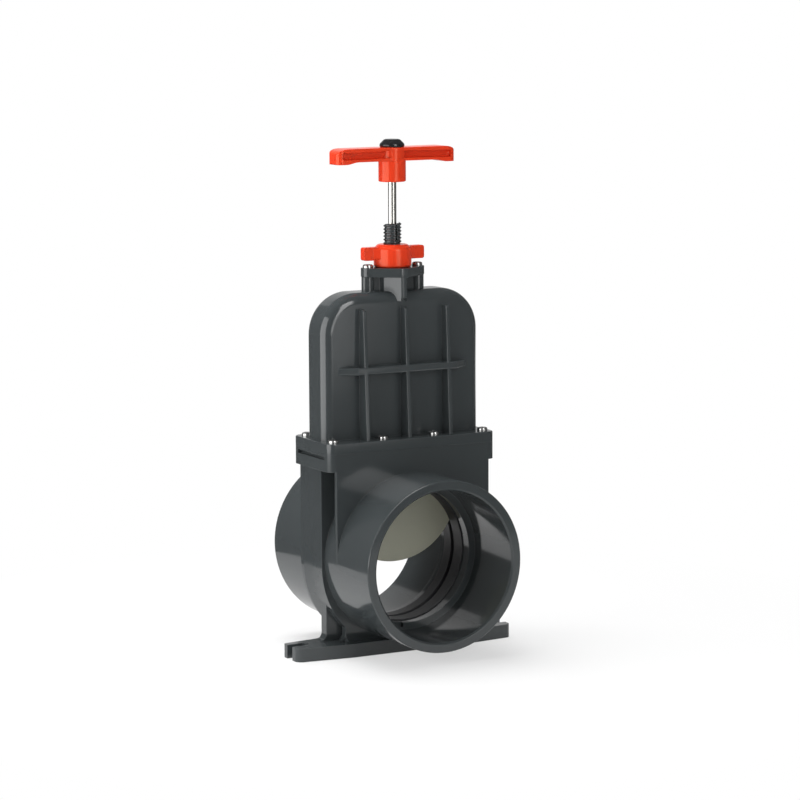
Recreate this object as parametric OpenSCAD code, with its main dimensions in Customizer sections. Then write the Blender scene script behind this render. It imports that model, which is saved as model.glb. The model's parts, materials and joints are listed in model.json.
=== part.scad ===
// Bladed gate valve in PVC with two solvent sockets, standing on its foot.
// Millimetres, +Z up. Pipe axis along Y, front socket towards -Y, foot on z = 0.
// x = 0 and y = 0 are the middle of the body, halfway between the socket mouths.

/* [Pipe sockets] */
// Inside diameter of both solvent sockets
socket_bore_d = 110.4; // [108:0.1:112]
// Wall of the sockets
socket_wall = 7.3; // [5:0.1:9]
// Length of the valve from socket mouth to socket mouth
body_length = 150; // [140:1:180]
// Depth of each socket, from its mouth to the pipe stop
socket_depth = 54; // [48:1:58]
// Diameter of the passage between the two pipe stops
port_d = 100; // [92:1:102]
// Height of the pipe axis above the floor
axis_z = 71.5; // [70:0.5:80]
// Lead-in chamfer at the socket mouths
mouth_chamfer = 1.2; // [0.5:0.1:2]

/* [Blade housing] */
// Width over the flat sides of the housing
housing_w = 130; // [128:1:134]
// How far the round bottom of the housing is centred below the pipe axis
housing_drop = 5.5; // [4:0.1:6]
// Front face of the housing, measured from the middle of the body
housing_front_y = -8.3; // [-10:0.1:-7.5]
// Back face of the housing, measured from the middle of the body
housing_back_y = 25.2; // [22:0.1:25.4]
// Largest diameter of the tapered core, which bulges through the housing's flats
core_d = 133.3; // [131:0.1:135]
// Back end of the tapered core, measured from the middle of the body
core_back_y = 18; // [14:0.1:22]
// Width of the thin plate under the front of the flange
apron_w = 126; // [120:0.5:130]
// Thickness of the thin plate under the front of the flange
apron_t = 2.8; // [2:0.1:5]
// Middle plane of the blade, measured from the middle of the body
blade_y = 2.5; // [1:0.1:4]

/* [Flanges] */
// Width of the flanges of the body and bonnet
flange_w = 137; // [135:0.5:142]
// Front-to-back depth of the flanges
flange_d = 58.2; // [56:0.2:60]
// Middle of the flanges, measured from the middle of the body
flange_y = 0.8; // [0:0.1:1.5]
// Radius of the upright corners of the flanges
flange_corner_r = 6; // [2:0.5:7]
// Underside of the body's flange above the floor
flange_bottom_z = 138.3; // [136:0.1:142]
// Thickness of the body's flange
body_flange_t = 12.8; // [10:0.1:16]
// Thickness of the gasket, which lies in a shallow seat in the top of the body
gasket_t = 0.5; // [0.5:0.1:2]
// Thickness of the bonnet's flange
bonnet_flange_t = 7.6; // [5:0.1:9]
// Height of the groove in each side of the body's flange
side_groove_h = 2.8; // [1.5:0.1:3.5]
// Distance from the top of the body down to the groove
side_groove_drop = 1.8; // [1:0.1:3]
// Depth of the groove in each side of the body's flange
side_groove_depth = 3.2; // [1.5:0.1:3.5]

/* [Foot] */
// Length of the foot across the pipe
foot_l = 178; // [170:1:190]
// Thickness of the foot
foot_t = 10; // [8:0.5:12]
// Front-to-back depth of the foot under the body
foot_d = 41.2; // [36:0.2:50]
// Length of the open bolt slots
foot_slot_l = 15; // [10:0.5:18]
// Width of the open bolt slots
foot_slot_w = 8.2; // [6.5:0.1:9]
// Middle line of the bolt slots, measured from the middle of the body
foot_slot_y = -3.2; // [-5:0.1:-2]
// Width of the foot in front of each bolt slot
foot_front_prong = 8.6; // [6:0.1:10]
// Width of the foot behind each bolt slot
foot_back_prong = 6; // [5:0.1:9]
// Width of the upright web at the back of the foot
back_web_w = 116; // [100:1:120]
// Thickness of the upright web at the back of the foot
back_web_t = 8; // [5:0.5:10]
// Width of the upright web at the front of the foot
front_web_w = 92; // [80:1:104]
// Thickness of the upright web at the front of the foot
front_web_t = 5.7; // [4:0.1:8]
// Fillet at the sides of both webs, where they widen into the foot
web_fillet_r = 5.5; // [3:0.5:8]
// Fillet between the front web and the foot
front_fillet_r = 6; // [3:0.5:6.5]

/* [Blade and seals] */
// Width of the blade
blade_w = 105; // [104:0.5:106]
// Thickness of the blade
blade_t = 4; // [3:0.1:5]
// Height of the blade
blade_h = 126; // [124:0.5:128]
// Running gap between the blade and the walls and seals beside it
blade_gap = 0.3; // [0.2:0.05:0.5]
// How far the blade is lifted above its closed place
lift = 44.3; // [0:0.1:100]
// Depth of the seal rings along the pipe, away from the blade
seal_l = 8; // [6:0.1:8]
// Radial thickness of the seal rings
seal_t = 4; // [3:0.1:4.5]
// How far the seal lips stand into the passage
seal_lip = 0.8; // [0.4:0.1:1.5]
// Length of the front seal's lip along the passage
seal_lip_l = 4.2; // [2:0.1:6]

/* [Bonnet] */
// Width over the sides of the bonnet
bonnet_w = 128.8; // [125:0.1:129]
// Front-to-back depth of the bonnet
bonnet_d = 29.4; // [28:0.2:31]
// Height of the bonnet above its flange
bonnet_h = 105.3; // [105:0.1:120]
// Radius of the bonnet's upper corners, seen from the front
bonnet_corner_r = 30; // [20:1:45]
// Rounding of the bonnet's front and back edges
bonnet_edge_r = 8; // [5:0.5:9]
// Wall thickness of the bonnet
bonnet_wall = 4; // [3:0.1:5]
// Thickness of the stiffening ribs
rib_t = 2.8; // [2:0.1:5]
// Sideways spacing of the upright ribs
rib_spacing = 34; // [28:1:38]
// Height of the upright ribs above the bonnet's flange
rib_h = 94; // [80:1:98]
// How far the ribs stand out at the top
rib_top_out = 6.2; // [4:0.1:8]
// How far the front ribs stand out at the flange
rib_foot_out = 11.4; // [8:0.1:12.5]
// How far the back ribs stand out at the flange
rib_back_out = 8.2; // [7:0.1:8.6]
// Height of the cross rib above the bonnet's flange
cross_rib_z = 49.8; // [35:0.2:65]
// Height of the cross rib's own section
cross_rib_t = 5.6; // [3:0.1:7]
// Length of the cross rib
cross_rib_l = 105; // [90:1:110]

/* [Gland] */
// Length of the diamond-shaped gland plate, across the pipe
gland_l = 50; // [48:0.5:58]
// Front-to-back depth of the diamond-shaped gland plate
gland_d = 38; // [34:0.5:42]
// Thickness of the gland plate
gland_t = 6.6; // [5:0.1:9]
// Height of the tower between the bonnet's top and the gland plate
tower_h = 10.1; // [8:0.1:16]
// Diameter of the tower's middle tube
tower_tube_d = 22.4; // [15:0.1:26]
// Thickness of the tower's two screw pillars
pillar_t = 8.4; // [7.6:0.1:10]
// Distance between the gland screws
gland_screw_pitch = 40.6; // [40:0.2:42]
// Outside diameter of the threaded spigot
spigot_d = 13.2; // [12:0.1:13.4]
// Height of the threaded spigot above the gland plate
spigot_h = 30.8; // [28:0.1:33.4]
// Pitch of the spigot's thread
thread_pitch = 2.5; // [1.5:0.1:3]
// Depth of the spigot's thread
thread_depth = 0.9; // [0.5:0.1:1.2]
// Width of the slits that split the spigot's top
slit_w = 1.6; // [1:0.1:2]
// Length of the slits that split the spigot's top
slit_l = 12; // [6:0.5:14]

/* [Wing nut] */
// Diameter of the wing nut's barrel
nut_d = 27.6; // [25:0.1:30]
// Height of the wing nut's barrel
nut_h = 16.4; // [14:0.1:17]
// Span over the two wings
wing_span = 49.4; // [46:0.2:56]
// Height of each wing
wing_h = 9.6; // [7:0.1:11]
// Thickness of each wing
wing_t = 6; // [4:0.1:8]
// Gap under the wings, above the gland plate
wing_rise = 5.2; // [4.5:0.1:7]
// Radial running gap between nut and spigot
nut_gap = 0.1; // [0.05:0.01:0.3]

/* [Rod and handle] */
// Diameter of the lifting rod
rod_d = 6; // [5:0.1:8]
// Radial running gap around the rod
rod_gap = 0.1; // [0.05:0.01:0.2]
// Free rod between the spigot and the hub, with the blade as lifted
rod_showing = 30.9; // [20:0.1:120]
// Diameter of the handle's hub
hub_d = 20; // [19:0.1:24]
// Height of the hub below the bar
hub_skirt_h = 15.2; // [13:0.1:18]
// Diameter of the hub's hollow, which comes down over the spigot
hub_hollow_d = 14.4; // [14:0.1:16]
// Depth of the hub's hollow
hub_hollow_h = 16.6; // [15:0.1:17.5]
// Length of the handle's bar
bar_l = 96.6; // [90:0.2:120]
// Height of the handle's bar
bar_h = 9.7; // [9:0.1:14]
// Front-to-back thickness of the handle's bar
bar_t = 16.8; // [14:0.2:19]
// How far the bar's ends hang below its middle
bar_droop = 1.6; // [0:0.1:4]
// Depth of the hollow along each face of the bar
bar_channel_depth = 4.2; // [2:0.1:5.5]
// Diameter of the black cap on the handle
cap_d = 18.2; // [15:0.1:18.5]
// Height of the black cap
cap_h = 5.8; // [5:0.1:9]

/* [Fasteners] */
// Head diameter of the flange and gland screws
screw_head_d = 7.6; // [6.5:0.1:7.8]
// Head height of the screws
screw_head_h = 2.5; // [2:0.1:3]
// Shank diameter of the screws
screw_d = 4; // [3:0.1:4.2]
// Shank length of the flange screws
flange_screw_l = 16; // [12:0.5:18]
// Shank length of the gland screws
gland_screw_l = 14; // [12:0.5:15]
// Radial gap around the screw shanks
screw_gap = 0.1; // [0.05:0.05:0.3]
// Sideways distance of the outer flange screws from the middle
outer_screw_x = 61.5; // [60:0.1:63.5]
// Sideways distance of the inner flange screws from the middle
inner_screw_x = 21; // [16:0.5:26]
// Front-to-back distance of the flange screws from the middle
screw_row_y = 20.9; // [20.6:0.1:21.8]
// Width of the block that joins rod and blade
clevis_w = 18; // [14:0.5:20]
// Front-to-back thickness of the block that joins rod and blade
clevis_t = 10.4; // [9:0.1:11]
// Height of the block that joins rod and blade
clevis_h = 20; // [18:0.5:21]
// How far the block reaches down over the blade
clevis_grip = 13; // [11:0.5:13.5]
// Diameter of the cross pin through block and blade
cross_pin_d = 5; // [4:0.1:6]

/* [Hidden] */
$fn = 96;
FLANGE_SCREWS = [for (side = [-1, 1], x = [-outer_screw_x, -inner_screw_x, inner_screw_x, outer_screw_x])
    [x, side * screw_row_y]];
GLAND_SCREWS = [for (side = [-1, 1]) [side * gland_screw_pitch / 2, blade_y]];

PVC = [0.29, 0.32, 0.33];
RED = [0.93, 0.26, 0.13];
STEEL = [0.76, 0.76, 0.78];
BLADE = [0.72, 0.70, 0.65];
RUBBER = [0.10, 0.10, 0.11];
eps = 0.01;

socket_d = socket_bore_d + 2 * socket_wall;
stop_y = body_length / 2 - socket_depth;
housing_round_z = axis_z - housing_drop;

body_top_z = flange_bottom_z + body_flange_t;
bonnet_base_z = body_top_z;
bonnet_deck_z = bonnet_base_z + bonnet_flange_t;
bonnet_top_z = bonnet_deck_z + bonnet_h;
bonnet_front_y = blade_y - bonnet_d / 2;
gland_base_z = bonnet_top_z + tower_h;
gland_top_z = gland_base_z + gland_t;
spigot_top_z = gland_top_z + spigot_h;

slot_w = blade_w + 2 * blade_gap;
slot_t = blade_t + 2 * blade_gap;
slot_front_y = blade_y - slot_t / 2;
slot_back_y = blade_y + slot_t / 2;
seal_groove_d = port_d + 2 * seal_t;
rod_bore_d = rod_d + 2 * rod_gap;
screw_hole_d = screw_d + 2 * screw_gap;
screw_tip_room = 1;

// The blade closes with its round lower edge just inside the round slot.
blade_bottom_z = axis_z - blade_w / 2 + lift;
blade_top_z = blade_bottom_z + blade_h;
clevis_bottom_z = blade_top_z - clevis_grip;
clevis_top_z = clevis_bottom_z + clevis_h;
clevis_room = 2;
clevis_pocket_z = clevis_bottom_z - lift - clevis_room;

hub_bottom_z = spigot_top_z + rod_showing;
bar_bottom_z = hub_bottom_z + hub_skirt_h;
bar_top_z = bar_bottom_z + bar_h;
packing_d = 11;
packing_h = 6;
handle_nut_h = 5;
handle_nut_across = 10;
nut_pocket_d = 12.4;
nut_pocket_h = handle_nut_h + 0.5;
rod_top_z = bar_top_z - 0.4;
rod_grip_in_clevis = 5;

foot_end_front_y = foot_slot_y - foot_slot_w / 2 - foot_front_prong;
foot_end_back_y = foot_slot_y + foot_slot_w / 2 + foot_back_prong;

// Points of an arc round centre c, from angle a0 through the sweep.
function arc(c, r, a0, sweep, n) =
    [for (i = [0:n]) c + r * [cos(a0 + sweep * i / n), sin(a0 + sweep * i / n)]];
function unit(v) = v / norm(v);
function turn(a) = a > 180 ? a - 360 : a < -180 ? a + 360 : a;
// Corner p between its neighbours, rounded to radius r.
function round_corner(before, p, after, r, n) =
    r <= 0 ? [p] :
    let (u = unit(before - p), v = unit(after - p), half = acos(u * v) / 2,
         c = p + unit(u + v) * r / sin(half),
         from = p + u * r / tan(half) - c, to = p + v * r / tan(half) - c,
         a0 = atan2(from[1], from[0]), a1 = atan2(to[1], to[0]))
    arc(c, r, a0, turn(a1 - a0), n);
// Outline through corners given as [x, y, radius].
function outline(corners, n = 8) =
    let (m = len(corners))
    [for (i = [0:m - 1])
        let (a = corners[(i + m - 1) % m], b = corners[i], c = corners[(i + 1) % m])
        each round_corner([a[0], a[1]], [b[0], b[1]], [c[0], c[1]], b[2], n)];
// The same corners followed by their mirror images in x = 0.
function both_sides(corners) =
    concat(corners, [for (i = [len(corners) - 1:-1:0]) [-corners[i][0], corners[i][1], corners[i][2]]]);
function box_outline(w, d, r) =
    outline([[-w / 2, -d / 2, r], [w / 2, -d / 2, r], [w / 2, d / 2, r], [-w / 2, d / 2, r]]);

// Plate of an outline drawn in x and z, between two planes across the pipe.
module upright(y_from, y_to) {
    translate([0, y_to, 0]) rotate([90, 0, 0]) linear_extrude(y_to - y_from) children();
}
// Outline drawn in y and z, between two planes across the width.
module sideways(x_from, x_to) {
    translate([x_from, 0, 0]) rotate([90, 0, 90]) linear_extrude(x_to - x_from) children();
}
// Cylinder along the pipe, on its axis.
module pipe_cyl(y_from, y_to, d) {
    translate([0, y_from, axis_z]) rotate([-90, 0, 0]) cylinder(h = y_to - y_from, d = d, $fn = 180);
}
module at_each(places, z) {
    for (place = places) translate([place[0], place[1], z]) children();
}

// ---- Body ----

module sockets_outside() {
    pipe_cyl(-body_length / 2, body_length / 2, socket_d);
}
// Flat-sided housing with a round bottom, centred a little below the pipe.
module housing() {
    d = housing_back_y - housing_front_y;
    translate([0, housing_front_y, housing_round_z]) rotate([-90, 0, 0])
        cylinder(h = d, d = housing_w, $fn = 180);
    translate([-housing_w / 2, housing_front_y, housing_round_z])
        cube([housing_w, d, flange_bottom_z - housing_round_z + eps]);
}
// Tapered core inside the housing, which shows as a slim bulge on each flat side.
module core() {
    front_y = blade_y + 0.5;
    front_d = housing_w - 0.2;
    translate([0, front_y, housing_round_z]) rotate([-90, 0, 0])
        cylinder(h = core_back_y - front_y, d1 = front_d, d2 = core_d, $fn = 180);
}
// Thin plate under the flange's front edge, with round upright corners.
module apron() {
    corner_r = 1;
    translate([0, flange_y - flange_d / 2, axis_z]) linear_extrude(flange_bottom_z - axis_z + eps)
        polygon(outline([[-apron_w / 2, 0, corner_r], [apron_w / 2, 0, corner_r],
            [apron_w / 2, apron_t, 0], [-apron_w / 2, apron_t, 0]]));
}
module body_flange() {
    translate([0, flange_y, flange_bottom_z])
        linear_extrude(body_flange_t) polygon(box_outline(flange_w, flange_d, flange_corner_r));
}
// Foot seen from above: wide under the body, narrower at its two ends.
module foot() {
    tip_x = foot_l / 2;
    shoulder_x = front_web_w / 2 - 1;
    back_step = [2, 3.5];
    front_sweep_r = 30;
    tip_r = 5;
    back_tip_r = 2;
    back_step_r = 4;
    shoulder_r = 6;
    linear_extrude(foot_t) polygon(outline(both_sides([
        [shoulder_x, -foot_d / 2, front_sweep_r],
        [tip_x, foot_end_front_y, tip_r],
        [tip_x, foot_end_back_y, back_tip_r],
        [back_web_w / 2 + back_step[0], foot_end_back_y + back_step[1], back_step_r],
        [shoulder_x, foot_d / 2, shoulder_r]])));
}
module foot_slot() {
    round_x = foot_l / 2 - foot_slot_l + foot_slot_w / 2;
    translate([round_x, foot_slot_y, -eps]) cylinder(h = foot_t + 2 * eps, d = foot_slot_w);
    translate([round_x, foot_slot_y - foot_slot_w / 2, -eps])
        cube([foot_slot_l, foot_slot_w, foot_t + 2 * eps]);
}
// Web that widens into the foot with a round fillet and ends inside the housing's round bottom.
module web(w, y_from, y_to, fillet) {
    root = 2;
    top_z = housing_round_z - sqrt(pow(housing_w, 2) - pow(w, 2)) / 2 + root;
    upright(y_from, y_to) polygon(outline(both_sides([
        [w / 2 + 2 * fillet, foot_t / 2, 0],
        [w / 2 + 2 * fillet, foot_t, 0],
        [w / 2, foot_t, fillet],
        [w / 2, top_z, 0]])));
}
// Round hollow fillet where the front web meets the foot's top.
module front_fillet() {
    y = housing_front_y;
    r = front_fillet_r;
    root = 1;
    sideways(-front_web_w / 2, front_web_w / 2) polygon(concat(
        [[y + root, foot_t - root], [y - r, foot_t - root]],
        arc([y - r, foot_t + r], r, -90, 90, 8), [[y + root, foot_t + r]]));
}
module blade_slot() {
    pipe_cyl(slot_front_y, slot_back_y, slot_w);
    translate([-slot_w / 2, slot_front_y, axis_z]) cube([slot_w, slot_t, body_top_z - axis_z + eps]);
}
// Room for the rod's block above the passage when the blade is down.
module clevis_pocket() {
    w = clevis_w + 2 * clevis_room;
    t = clevis_t + 2 * clevis_room;
    translate([-w / 2, blade_y - t / 2, clevis_pocket_z]) cube([w, t, body_top_z - clevis_pocket_z + eps]);
}
module socket_bores() {
    for (side = [0, 1]) mirror([0, side, 0]) {
        pipe_cyl(-body_length / 2 - eps, -stop_y, socket_bore_d);
        translate([0, -body_length / 2 - eps, axis_z]) rotate([-90, 0, 0])
            cylinder(h = mouth_chamfer, d1 = socket_bore_d + 2 * mouth_chamfer, d2 = socket_bore_d, $fn = 180);
    }
}
module seal_grooves() {
    pipe_cyl(slot_front_y - seal_l, slot_front_y + eps, seal_groove_d);
    pipe_cyl(slot_back_y - eps, slot_back_y + seal_l, seal_groove_d);
}
module side_grooves() {
    l = 42;
    for (side = [-1, 1])
        translate([side * (flange_w / 2 - side_groove_depth / 2 + eps), flange_y, body_top_z - side_groove_drop - side_groove_h / 2])
            cube([side_groove_depth, l, side_groove_h], center = true);
}
// Small drain notch across the lowest point of the front pipe stop.
module drain_notch() {
    notch = 3.2;
    length = 3;
    middle_x = -7;
    overlap = 2;
    translate([middle_x - notch / 2, -stop_y - eps, axis_z - port_d / 2 - notch])
        cube([notch, length + eps, notch + overlap]);
}
// Seat of the gasket, sunk into the top of the body.
module gasket_seat() {
    translate([0, 0, body_top_z - gasket_t]) linear_extrude(gasket_t + eps) gasket_outline(0);
}
// The core's round bottom is cut flush with the underside of the foot.
module below_foot() {
    translate([-foot_l / 2, -body_length / 2, -foot_t]) cube([foot_l, body_length, foot_t]);
}
module valve_body() color(PVC) difference() {
    union() {
        sockets_outside();
        housing();
        core();
        apron();
        body_flange();
        foot();
        web(back_web_w, foot_end_back_y - back_web_t, foot_end_back_y, web_fillet_r);
        web(front_web_w, housing_front_y, housing_front_y + front_web_t, web_fillet_r);
        front_fillet();
    }
    socket_bores();
    pipe_cyl(-stop_y - eps, stop_y + eps, port_d);
    blade_slot();
    clevis_pocket();
    seal_grooves();
    side_grooves();
    gasket_seat();
    drain_notch();
    below_foot();
    for (side = [0, 1]) mirror([side, 0, 0]) foot_slot();
    at_each(FLANGE_SCREWS, bonnet_deck_z - flange_screw_l - screw_tip_room)
        cylinder(h = flange_screw_l, d = screw_hole_d, $fn = 32);
}

// ---- Seals ----

// Flat ring beside the blade with a lip that lines the passage.
module seat_seal(lip_l) {
    lip_r = port_d / 2 - seal_lip;
    fit = 0.05;
    rotate_extrude($fn = 180) polygon([
        [lip_r, 0], [seal_groove_d / 2 - fit, 0], [seal_groove_d / 2 - fit, seal_l - fit],
        [port_d / 2 - fit, seal_l - fit], [port_d / 2 - fit, seal_l + lip_l], [lip_r, seal_l + lip_l]]);
}
module front_seat_seal() color(RUBBER)
    translate([0, slot_front_y, axis_z]) rotate([90, 0, 0]) seat_seal(seal_lip_l);
module rear_seat_seal() color(RUBBER)
    translate([0, slot_back_y, axis_z]) rotate([-90, 0, 0]) seat_seal(seal_lip_l / 2);

module cavity_window(h) {
    w = bonnet_w - 2 * bonnet_wall;
    d = bonnet_d - 2 * bonnet_wall;
    translate([0, blade_y, 0]) linear_extrude(h) polygon(box_outline(w, d, 3));
}
// Gasket's outside, clear of the flange's rim and grooves.
module gasket_outline(gap) {
    rim_y = 1.5;
    rim_x = side_groove_depth + rim_y;
    translate([0, flange_y])
        polygon(box_outline(flange_w - 2 * (rim_x + gap), flange_d - 2 * (rim_y + gap), flange_corner_r / 2));
}
module bonnet_gasket() color(RUBBER) translate([0, 0, body_top_z - gasket_t]) difference() {
    linear_extrude(gasket_t) gasket_outline(0.05);
    translate([0, 0, -eps]) cavity_window(gasket_t + 2 * eps);
    at_each(FLANGE_SCREWS, -eps) cylinder(h = gasket_t + 2 * eps, d = screw_hole_d, $fn = 32);
}

// ---- Bonnet ----

// Front view of the bonnet drawn in from its outside by inset, from height z_from.
function bonnet_face(inset, z_from) =
    outline(both_sides([[bonnet_w / 2 - inset, z_from, 0],
        [bonnet_w / 2 - inset, bonnet_top_z - inset, bonnet_corner_r - inset]]), 14);
// Smooth shell of the bonnet: its front view at rising depths, with round front and back edges.
module bonnet_solid(inset, z_from) {
    flat = bonnet_d / 2 - inset - bonnet_edge_r;
    rings = concat(
        [for (a = [90:-15:0]) [-flat - bonnet_edge_r * sin(a), inset + bonnet_edge_r * (1 - cos(a))]],
        [for (a = [0:15:90]) [flat + bonnet_edge_r * sin(a), inset + bonnet_edge_r * (1 - cos(a))]]);
    n = len(bonnet_face(inset, z_from));
    points = [for (ring = rings) for (p = bonnet_face(ring[1], z_from)) [p[0], blade_y + ring[0], p[1]]];
    skin = [for (k = [0:len(rings) - 2], j = [0:n - 1])
        let (a = k * n + j, b = k * n + (j + 1) % n)
        each [[a, b, b + n], [a, b + n, a + n]]];
    last = (len(rings) - 1) * n;
    polyhedron(points, concat(skin, [[for (j = [n - 1:-1:0]) j]], [[for (j = [0:n - 1]) last + j]]));
}
// Upright rib that stands out further towards the flange.
module upright_rib(x, out) {
    root = 1.5;
    sideways(x - rib_t / 2, x + rib_t / 2) polygon([
        [root, 0], [-out, 0], [-rib_top_out, rib_h], [root, rib_h]]);
}
// Cross rib whose ends run out flat against the bonnet.
module cross_rib(out) {
    root = 1.5;
    end = cross_rib_l / 2;
    run_out = 12;
    translate([0, 0, cross_rib_z - cross_rib_t / 2]) linear_extrude(cross_rib_t) polygon([
        [-end, root], [-end, 0], [-end + run_out, -out], [end - run_out, -out], [end, 0], [end, root]]);
}
module rib_set(foot_out) {
    for (x = [-rib_spacing, 0, rib_spacing]) upright_rib(x, foot_out);
    cross_rib(rib_top_out + (foot_out - rib_top_out) * (1 - cross_rib_z / rib_h));
}
module ribs() {
    translate([0, bonnet_front_y, bonnet_deck_z]) rib_set(rib_foot_out);
    translate([0, 2 * blade_y - bonnet_front_y, bonnet_deck_z]) mirror([0, 1, 0]) rib_set(rib_back_out);
}
// Diamond with blunt ends, centred on the rod.
function diamond(l, d) =
    let (blunt_x = 2.6, blunt_y = 3.4, vertex_r = 1.2, end_r = 2.4)
    outline(both_sides([
        [blunt_x, -d / 2, vertex_r], [l / 2, -blunt_y, end_r],
        [l / 2, blunt_y, end_r], [blunt_x, d / 2, vertex_r]]), 5);
// Seen from above: the tower's tube, faired to a rib of width w that reaches l from front to back.
module faired_tube(w, l) {
    hull() {
        circle(d = tower_tube_d);
        square([w, l], center = true);
    }
}
// Tower under the gland plate: two pillars and a web in the diamond's outline, and the faired tube.
module tower() {
    root_z = bonnet_top_z - bonnet_edge_r - 2;
    h = gland_base_z - root_z;
    rib_w = 4.2;
    pillar_end_t = 0.8 * pillar_t;
    tip = 0.5;
    sink = 0.4;
    foot_z = bonnet_top_z - 0.9 * bonnet_edge_r;
    translate([0, blade_y, 0]) {
        hull() {
            translate([0, 0, foot_z]) linear_extrude(tip) faired_tube(rib_w, bonnet_d - 2 * sink);
            translate([0, 0, bonnet_top_z - tip]) linear_extrude(tip) faired_tube(rib_w, gland_d - 2);
        }
        translate([0, 0, bonnet_top_z - tip]) linear_extrude(tower_h + tip) faired_tube(rib_w, gland_d - 2);
        intersection() {
            translate([0, 0, root_z]) linear_extrude(h) polygon(diamond(gland_l, gland_d));
            union() {
                for (side = [-1, 1]) translate([side * gland_screw_pitch / 2, 0, root_z]) linear_extrude(h) {
                    circle(d = pillar_t, $fn = 48);
                    translate([side * pillar_t / 2, 0]) square([pillar_t, pillar_end_t], center = true);
                }
                translate([0, 0, bonnet_top_z]) cube([gland_screw_pitch, rib_t, 2 * h], center = true);
            }
        }
    }
}
module bonnet_flange() {
    translate([0, flange_y, bonnet_base_z])
        linear_extrude(bonnet_flange_t) polygon(box_outline(flange_w, flange_d, flange_corner_r));
}
module bonnet() color(PVC) difference() {
    union() {
        bonnet_flange();
        bonnet_solid(0, bonnet_deck_z - 1);
        ribs();
        tower();
    }
    bonnet_solid(bonnet_wall, bonnet_base_z - 1);
    translate([0, blade_y, bonnet_top_z - 2 * bonnet_wall])
        cylinder(h = 2 * bonnet_wall + tower_h + eps, d = rod_bore_d, $fn = 48);
    translate([0, blade_y, gland_base_z - packing_h])
        cylinder(h = packing_h + eps, d = packing_d, $fn = 64);
    at_each(FLANGE_SCREWS, bonnet_base_z - eps)
        cylinder(h = bonnet_flange_t + 2 * eps, d = screw_hole_d, $fn = 32);
    at_each(GLAND_SCREWS, gland_top_z - gland_screw_l - screw_tip_room)
        cylinder(h = gland_screw_l, d = screw_hole_d, $fn = 32);
}

// ---- Gland ----

module gland_packing() color(RUBBER) difference() {
    fit = 0.05;
    translate([0, blade_y, gland_base_z - packing_h]) cylinder(h = packing_h - fit, d = packing_d - 2 * fit, $fn = 64);
    translate([0, blade_y, gland_base_z - packing_h - eps]) cylinder(h = packing_h + 2 * eps, d = rod_bore_d, $fn = 48);
}
// Spigot with thread ridges, one at each pitch.
module threaded_spigot() {
    r = spigot_d / 2;
    turns = floor(spigot_h / thread_pitch);
    ridge = [for (i = [0:turns - 1]) each [
        [r - thread_depth, i * thread_pitch + 0.05],
        [r, (i + 0.35) * thread_pitch],
        [r, (i + 0.65) * thread_pitch],
        [r - thread_depth, (i + 1) * thread_pitch - 0.05]]];
    rotate_extrude($fn = 72) polygon(concat([[0, -eps], [r - thread_depth, -eps]], ridge,
        [[r - thread_depth, spigot_h], [0, spigot_h]]));
}
module gland_flange() color(PVC) translate([0, blade_y, 0]) difference() {
    union() {
        translate([0, 0, gland_base_z]) linear_extrude(gland_t) polygon(diamond(gland_l, gland_d));
        translate([0, 0, gland_top_z]) threaded_spigot();
    }
    translate([0, 0, gland_base_z - eps]) cylinder(h = gland_t + spigot_h + 1, d = rod_bore_d, $fn = 48);
    translate([0, 0, spigot_top_z - slit_l]) for (a = [0, 90]) rotate([0, 0, a])
        translate([-spigot_d, -slit_w / 2, 0]) cube([2 * spigot_d, slit_w, slit_l + 1]);
    for (side = [-1, 1]) translate([side * gland_screw_pitch / 2, 0, gland_base_z - eps])
        cylinder(h = gland_t + 2 * eps, d = screw_hole_d, $fn = 32);
}
module gland_wing_nut() color(RED) translate([0, blade_y, gland_top_z]) difference() {
    seat = 0.05;
    foot_edge = 0.6;
    shoulder_w = 3.4;
    shoulder_h = 2.6;
    wing_r = 1.6;
    union() {
        rotate_extrude() polygon([[0, seat], [nut_d / 2 - foot_edge, seat], [nut_d / 2, seat + foot_edge],
            [nut_d / 2, nut_h - shoulder_h], [nut_d / 2 - shoulder_w, nut_h], [0, nut_h]]);
        upright(-wing_t / 2, wing_t / 2) polygon(outline([
            [-wing_span / 2, wing_rise, wing_r], [wing_span / 2, wing_rise, wing_r],
            [wing_span / 2, wing_rise + wing_h, wing_r], [-wing_span / 2, wing_rise + wing_h, wing_r]], 5));
    }
    translate([0, 0, -1]) cylinder(h = nut_h + 2, d = spigot_d + 2 * nut_gap, $fn = 72);
}

// ---- Blade, rod and handle ----

module gate_blade() color(BLADE) difference() {
    upright(blade_y - blade_t / 2, blade_y + blade_t / 2) union() {
        translate([0, blade_bottom_z + blade_w / 2]) circle(d = blade_w, $fn = 180);
        translate([-blade_w / 2, blade_bottom_z + blade_w / 2]) square([blade_w, blade_h - blade_w / 2]);
    }
    translate([0, blade_y - clevis_t, blade_top_z - clevis_grip / 2]) rotate([-90, 0, 0])
        cylinder(h = 2 * clevis_t, d = cross_pin_d + 0.1, $fn = 48);
}
module rod_clevis() color(STEEL) difference() {
    fit = 0.05;
    translate([-clevis_w / 2, blade_y - clevis_t / 2, clevis_bottom_z]) cube([clevis_w, clevis_t, clevis_h]);
    translate([-clevis_w, blade_y - blade_t / 2 - fit, clevis_bottom_z - eps])
        cube([2 * clevis_w, blade_t + 2 * fit, clevis_grip + fit + eps]);
    translate([0, blade_y, clevis_top_z - rod_grip_in_clevis]) cylinder(h = clevis_h, d = rod_d, $fn = 48);
    translate([0, blade_y - clevis_t, blade_top_z - clevis_grip / 2]) rotate([-90, 0, 0])
        cylinder(h = 2 * clevis_t, d = cross_pin_d + 0.1, $fn = 48);
}
module clevis_pin() color(STEEL)
    translate([0, blade_y - clevis_t / 2, blade_top_z - clevis_grip / 2]) rotate([-90, 0, 0])
        cylinder(h = clevis_t, d = cross_pin_d, $fn = 48);
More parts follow.
